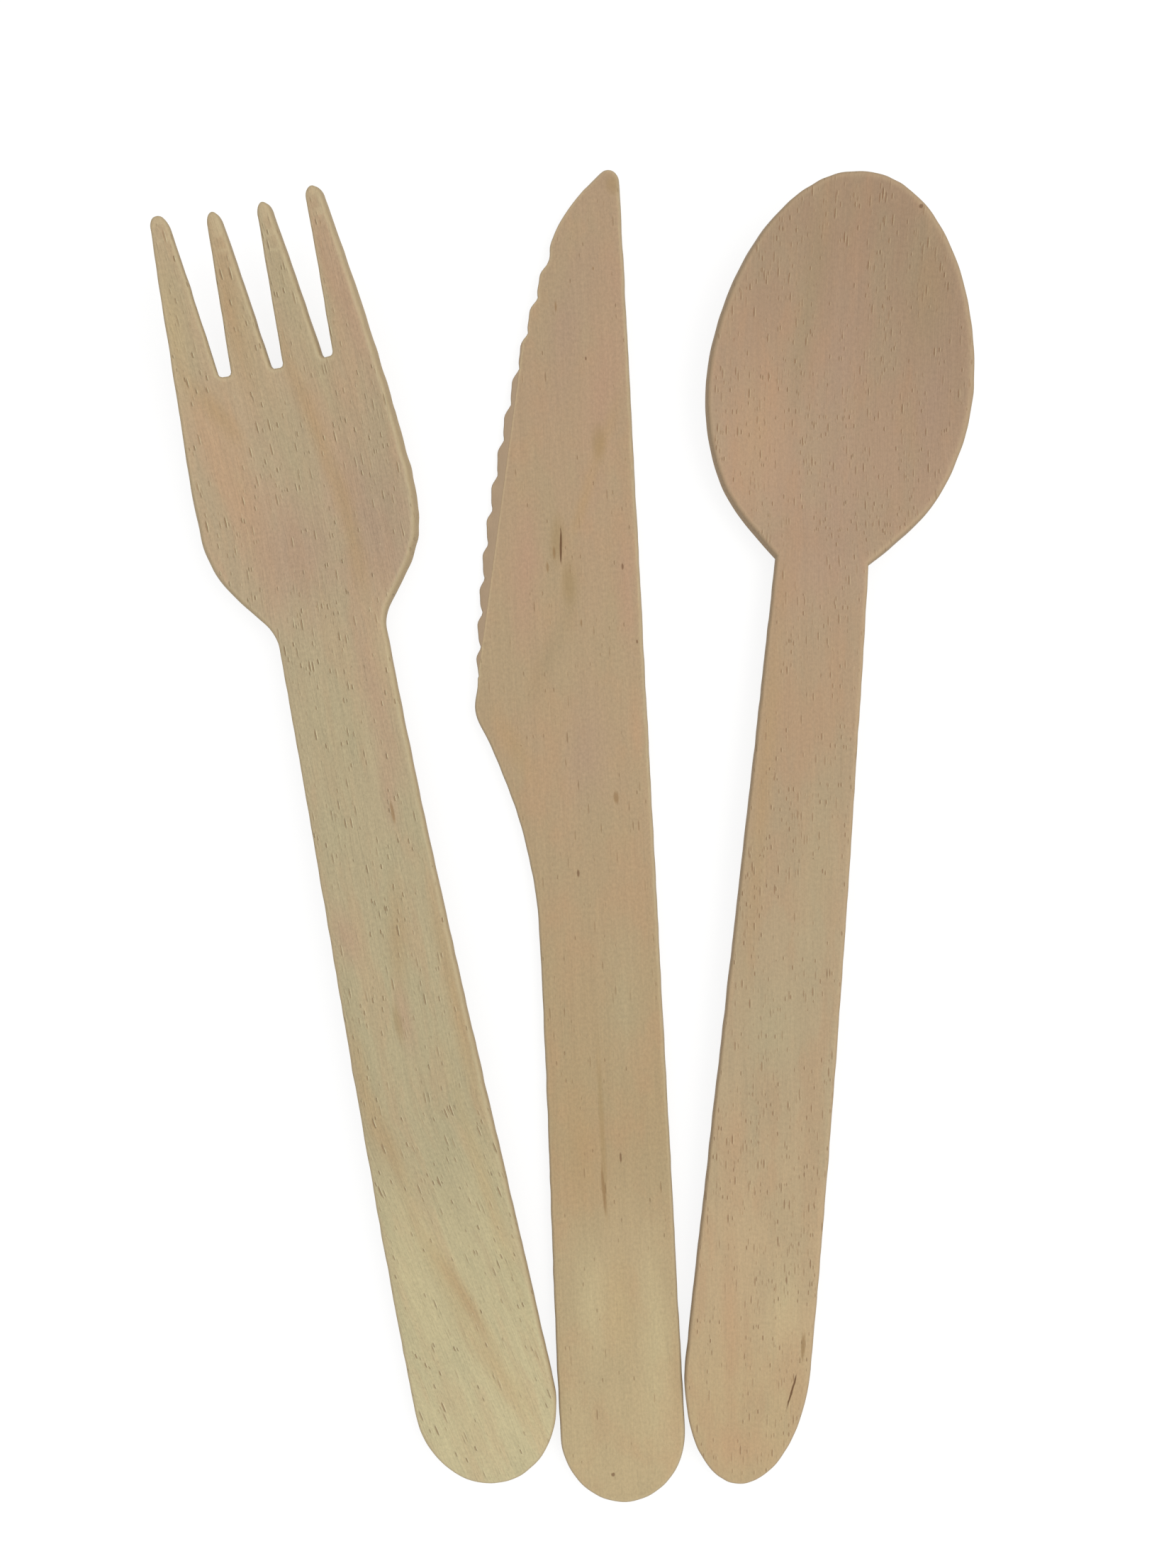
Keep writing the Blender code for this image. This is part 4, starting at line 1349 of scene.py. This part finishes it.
    def rounding(self, loop: np.ndarray) -> np.ndarray:
        """Rim width: fine along the teeth."""
        teeth = ease((loop[:, 1] - self.heel) / self.fine_rim_from) * (loop[:, 0] < -self.fine_rim_from)
        return self.edge_round * (1.0 - self.fine_rim_share * teeth)


@dataclass
class Studio:
    """White floor, soft light from the right and the camera straight above the set."""

    camera_height: float = 0.1518
    lens: float = 27.77
    film: float = 36.0
    nearest_seen: float = 0.01
    centre_from_knife: tuple[float, float] = (-0.01248, 0.088757)
    floor_size: float = 1.6
    floor_grey: str = "d8d8d8"
    floor_roughness: float = 0.95
    floor_specular: float = 0.1
    floor_glow: float = 1.2
    shadow_share: float = 0.30
    world_strength: float = 0.80
    key_power: float = 1.5
    key_size: float = 0.45
    key_from: tuple[float, float, float] = (0.42, 0.12, 0.60)
    key_colour: str = "fff8ee"

    def build(self, knife: bpy.types.Object) -> None:
        """Set up the camera, the floor and the light.

        Args:
            knife: The knife, from whose handle end the middle of the view is measured.
        """
        centre = Vector((knife.location.x + self.centre_from_knife[0],
                         knife.location.y + self.centre_from_knife[1], 0.0))
        self.camera(centre)
        self.floor()
        self.light()

    def camera(self, centre: Vector) -> None:
        """Hang the camera over the middle of the view, looking straight down.

        Args:
            centre: The point on the table in the middle of the view.
        """
        data = bpy.data.cameras.new("overhead")
        data.sensor_fit = "VERTICAL"
        data.sensor_height = self.film
        data.lens = self.lens
        data.clip_start = self.nearest_seen
        camera = bpy.data.objects.new("overhead", data)
        camera.location = (centre.x, centre.y, self.camera_height)
        bpy.context.scene.collection.objects.link(camera)
        bpy.context.scene.camera = camera

    def floor(self) -> None:
        """Lay the floor: matt white paper that shows white and keeps a soft shadow."""
        build = bmesh.new()
        bmesh.ops.create_grid(build, x_segments=1, y_segments=1, size=0.5 * self.floor_size)
        mesh = bpy.data.meshes.new("paper_floor")
        build.to_mesh(mesh)
        build.free()
        floor = bpy.data.objects.new("paper_floor", mesh)
        bpy.context.scene.collection.objects.link(floor)
        material = bpy.data.materials.new("matt_white_paper")
        material.use_nodes = True
        tree = material.node_tree
        shader = tree.nodes["Principled BSDF"]
        shader.inputs["Base Color"].default_value = linear(self.floor_grey)
        shader.inputs["Roughness"].default_value = self.floor_roughness
        shader.inputs["Specular IOR Level"].default_value = self.floor_specular
        white = linear("ffffff")
        glow = add_node(tree, "ShaderNodeEmission", {}, {"Color": white, "Strength": self.floor_glow})
        path = add_node(tree, "ShaderNodeLightPath", {}, {})
        seen = path.outputs["Is Camera Ray"]
        for ray in ("Is Glossy Ray", "Is Transmission Ray"):
            seen = add_node(tree, "ShaderNodeMath", {"operation": "MAXIMUM"},
                            {0: seen, 1: path.outputs[ray]}).outputs[0]
        share = add_node(tree, "ShaderNodeMath", {"operation": "MULTIPLY"},
                         {0: seen, 1: 1.0 - self.shadow_share})
        mixed = add_node(tree, "ShaderNodeMixShader", {},
                         {0: share.outputs[0], 1: shader.outputs[0], 2: glow.outputs[0]})
        tree.links.new(mixed.outputs[0], tree.nodes["Material Output"].inputs["Surface"])
        mesh.materials.append(material)

    def light(self) -> None:
        """Light the set with a white room and one large soft lamp from the right."""
        world = bpy.data.worlds.new("white_room")
        world.use_nodes = True
        background = world.node_tree.nodes["Background"]
        background.inputs["Color"].default_value = linear("ffffff")
        background.inputs["Strength"].default_value = self.world_strength
        bpy.context.scene.world = world
        data = bpy.data.lights.new("softbox", "AREA")
        data.energy = self.key_power
        data.size = self.key_size
        data.color = linear(self.key_colour)[:3]
        lamp = bpy.data.objects.new("softbox", data)
        lamp.location = self.key_from
        lamp.rotation_euler = (-Vector(self.key_from)).to_track_quat("-Z", "Y").to_euler()
        bpy.context.scene.collection.objects.link(lamp)


# Pale veneer, sanded rough: the eye gets straw and pinkish bands, deep fibres, and pores with a painted
# highlight on their lips.
# Each tone is set at its place in millimetres from the handle's end.
FORK_BIRCH = SandedBirch(
    name="birch_veneer_rough_sanded",
    tones=((8.0, "c8bc93"), (28.0, "c2b68e"), (48.0, "b6a985"), (96.0, "b6a684"), (118.0, "b79f82"),
           (150.0, "b9a382")),
    warm="c19c78", cool="aba683", pore="94704a", lip_highlight="e0d2aa", rim="d8caa2", wall="ab9674",
    patches=Streaks(2.4, 14.0, 3.0, 3.0), fibre_depth=0.070, nap_depth=0.10,
    pore_share=0.42, pore_mm=(0.38, 2.8), short_pore_mm=(0.32, 1.3), pore_depth=0.62, lip_highlight_share=0.60,
    rim_mm=0.5, rim_share=0.50, bump_mm=0.13,
    marks=(
        Mark(MarkKind.ORANGE, -8.5, 126.0, 4.5, 18.0, 6.0),
        Mark(MarkKind.MAUVE, -3.0, 118.0, 7.0, 12.0),
        Mark(MarkKind.GREEN, -1.0, 131.0, 3.0, 14.0, 4.0),
        Mark(MarkKind.MAUVE, 8.5, 120.0, 5.0, 20.0, 6.0),
        Mark(MarkKind.HONEY, -11.0, 146.0, 2.6, 12.0, -6.0),
        Mark(MarkKind.OCHRE, -8.6, 136.5, 1.8, 7.0, 30.0),
        Mark(MarkKind.OCHRE, -3.6, 148.0, 3.0, 16.0),
        Mark(MarkKind.OCHRE, 3.0, 133.0, 1.8, 18.0, 9.0),
        Mark(MarkKind.OCHRE, 4.8, 118.0, 1.8, 12.0, 2.0),
        Mark(MarkKind.ROSY, 10.5, 146.0, 2.4, 16.0, 8.0),
        Mark(MarkKind.GREEN, 3.4, 148.0, 2.2, 12.0),
        Mark(MarkKind.GREEN, 5.4, 138.0, 1.6, 14.0, 8.0),
        Mark(MarkKind.GREEN, -2.6, 90.0, 5.0, 20.0),
        Mark(MarkKind.ROSY, 4.0, 98.0, 2.6, 16.0, 4.0),
        Mark(MarkKind.ROSY, 3.4, 86.5, 1.6, 7.0),
        Mark(MarkKind.OCHRE, 0.9, 69.0, 2.0, 11.0, -8.0),
        Mark(MarkKind.ROSY, -0.1, 59.5, 1.5, 7.0),
        Mark(MarkKind.ROSY, -5.2, 70.5, 2.2, 6.0, 8.0),
        Mark(MarkKind.OCHRE, -6.6, 52.0, 1.8, 13.0),
        Mark(MarkKind.OCHRE, 6.4, 60.0, 1.5, 24.0, 1.0),
        Mark(MarkKind.HONEY, 5.4, 38.0, 1.6, 22.0, 6.0),
        Mark(MarkKind.OCHRE, -4.9, 44.0, 1.8, 10.0, 10.0),
        Mark(MarkKind.HONEY, -1.6, 28.0, 2.0, 15.0, 18.0),
        Mark(MarkKind.HONEY, 2.6, 14.0, 2.4, 14.0, 22.0),
        Mark(MarkKind.OCHRE, 0.4, 24.0, 1.2, 9.0, 20.0),
        Mark(MarkKind.GREEN, 2.0, 36.0, 1.6, 18.0, 14.0),
        Mark(MarkKind.STRAW, -5.6, 26.0, 3.0, 18.0, 8.0),
        Mark(MarkKind.STRAW, -3.0, 8.0, 5.0, 7.0, 20.0),
        Mark(MarkKind.STREAK, 3.3, 84.0, 0.5, 3.2),
        Mark(MarkKind.SMUDGE, -1.0, 58.9, 0.9, 4.0),
    ),
)
# Close veneer, sanded fine: the eye gets a smooth tan face with one crack and a few flecks
KNIFE_BIRCH = SandedBirch(
    name="birch_veneer_fine_sanded",
    tones=((8.0, "bda981"), (30.0, "b9a47e"), (46.0, "b19a74"), (98.0, "b19877"), (158.0, "ae9476")),
    warm="bd9670", cool="a99b77", pore="8a6641", lip_highlight="cbb58e", rim="cfbd94", wall="a39076",
    patches=Streaks(5.0, 9.0, 3.0, 3.0), fibre_depth=0.045, nap_depth=0.10,
    pore_share=0.12, lip_highlight_share=0.20, rim_mm=0.4, rim_share=0.55, bump_mm=0.05,
    marks=(
        Mark(MarkKind.ROSY, -3.0, 140.0, 3.4, 26.0, -8.0),
        Mark(MarkKind.ROSY, -1.6, 113.0, 2.4, 12.0),
        Mark(MarkKind.ROSY, -14.0, 117.0, 3.0, 14.0, -8.0),
        Mark(MarkKind.MAUVE, -7.6, 146.0, 4.0, 16.0, -16.0),
        Mark(MarkKind.MAUVE, -8.0, 93.0, 4.0, 12.0),
        Mark(MarkKind.GREEN, -5.0, 62.0, 4.0, 14.0),
        Mark(MarkKind.OCHRE, -3.8, 131.5, 1.3, 8.0, -24.0),
        Mark(MarkKind.OCHRE, -6.6, 124.0, 1.1, 8.0, -22.0),
        Mark(MarkKind.SAGE, -8.8, 112.5, 1.8, 8.0, -8.0),
        Mark(MarkKind.SAGE, -12.0, 105.0, 2.0, 10.0, -26.0),
        Mark(MarkKind.OCHRE, -17.0, 95.0, 2.2, 8.0, 26.0),
        Mark(MarkKind.ORANGE, -1.4, 96.0, 1.4, 9.0),
        Mark(MarkKind.OCHRE, -11.0, 44.0, 3.6, 15.0),
        Mark(MarkKind.STRAW, -11.0, 25.0, 3.4, 12.0),
        Mark(MarkKind.STRAW, -3.0, 20.0, 3.0, 18.0),
        Mark(MarkKind.HONEY, -7.4, 24.0, 3.0, 9.0),
        Mark(MarkKind.SMUDGE, -10.0, 119.8, 1.5, 5.0, -6.0),
        Mark(MarkKind.CRACK, -9.6, 118.9, 0.38, 5.6, -3.0),
        Mark(MarkKind.STREAK, -10.5, 118.1, 0.40, 1.7),
        Mark(MarkKind.STREAK, -11.4, 116.4, 0.36, 1.5),
        Mark(MarkKind.SMUDGE, -8.9, 114.2, 1.6, 4.6),
        Mark(MarkKind.SMUDGE, -4.3, 131.5, 1.5, 3.8),
        Mark(MarkKind.FLECK, -2.1, 116.0, 0.30, 0.9),
        Mark(MarkKind.STREAK, -8.7, 148.6, 0.30, 1.5),
        Mark(MarkKind.FLECK, -5.3, 142.0, 0.28, 0.5),
        Mark(MarkKind.STREAK, -3.8, 153.1, 0.28, 0.5),
        Mark(MarkKind.STREAK, -7.6, 109.3, 0.28, 1.0),
        Mark(MarkKind.FLECK, -0.8, 106.6, 0.32, 0.7),
        Mark(MarkKind.SMUDGE, -0.8, 163.4, 1.6, 2.2),
        Mark(MarkKind.STREAK, -4.4, 87.4, 0.8, 1.8),
        Mark(MarkKind.FLECK, -9.6, 78.3, 0.35, 1.2),
        Mark(MarkKind.SMUDGE, -8.3, 46.0, 0.6, 18.0),
        Mark(MarkKind.STREAK, -8.5, 38.8, 0.5, 7.0, 2.0),
        Mark(MarkKind.FLECK, -6.2, 42.8, 0.3, 1.4),
        Mark(MarkKind.FLECK, -9.2, 3.6, 0.5, 0.6),
    ),
)
# Open-pored veneer, sanded: the eye gets the brownest face, with many short dark pores
SPOON_BIRCH = SandedBirch(
    name="birch_veneer_open_pored",
    tones=((8.0, "bda67e"), (26.0, "bda580"), (58.0, "b29e7d"), (98.0, "af9576"), (122.0, "ae9277"),
           (158.0, "a3886d")),
    warm="b7906d", cool="a39778", pore="89603d", lip_highlight="ceb893", rim="c8af8a", wall="9d876a",
    patches=Streaks(3.0, 10.0, 3.0, 3.0), fibre_depth=0.045, nap_depth=0.085,
    pore_share=0.75, pore_mm=(0.36, 2.4), short_pore_mm=(0.30, 1.2), pore_depth=0.62, lip_highlight_share=0.45,
    rim_mm=0.5, rim_share=0.5, bump_mm=0.06,
    marks=(
        Mark(MarkKind.ORANGE, -10.2, 129.0, 6.0, 15.0, -4.0),
        Mark(MarkKind.SAGE, -5.0, 147.0, 2.4, 20.0, -2.0),
        Mark(MarkKind.MAUVE, 0.4, 138.0, 4.0, 22.0),
        Mark(MarkKind.MAUVE, 12.0, 137.0, 3.0, 14.0),
        Mark(MarkKind.MAUVE, 2.0, 116.0, 7.0, 14.0),
        Mark(MarkKind.SAGE, 9.6, 148.0, 4.0, 12.0, 12.0),
        Mark(MarkKind.OCHRE, -4.8, 86.0, 1.8, 36.0),
        Mark(MarkKind.GREEN, 2.6, 77.0, 4.0, 20.0),
        Mark(MarkKind.GREEN, -1.0, 57.0, 5.0, 9.0),
        Mark(MarkKind.ORANGE, -4.4, 42.0, 2.4, 10.0),
        Mark(MarkKind.ORANGE, -3.0, 22.0, 1.6, 14.0, 6.0),
        Mark(MarkKind.STRAW, 3.4, 23.0, 3.0, 9.0),
        Mark(MarkKind.ORANGE, 0.0, 4.6, 6.0, 3.6),
        Mark(MarkKind.STREAK, 6.4, 18.4, 0.6, 4.0, 2.0),
        Mark(MarkKind.CRACK, 5.6, 12.6, 0.34, 5.6, -10.0),
        Mark(MarkKind.FLECK, 7.2, 157.2, 0.6, 0.5),
    ),
)


def main() -> None:
    """Build the three pieces and the studio round them."""
    logging.basicConfig(level=logging.INFO)
    bpy.context.scene.view_settings.view_transform = "Standard"
    Fork("fork", "fork_birch", 11.20, FORK_BIRCH, seed=3).build()
    knife = Knife("knife", "knife_birch", 3.01, KNIFE_BIRCH, wave=0.00001, seed=5, crease=34.0).build()
    Spoon("spoon", "spoon_birch", -5.18, SPOON_BIRCH, seed=7).build()
    Studio().build(knife)


if __name__ == "__main__":
    main()
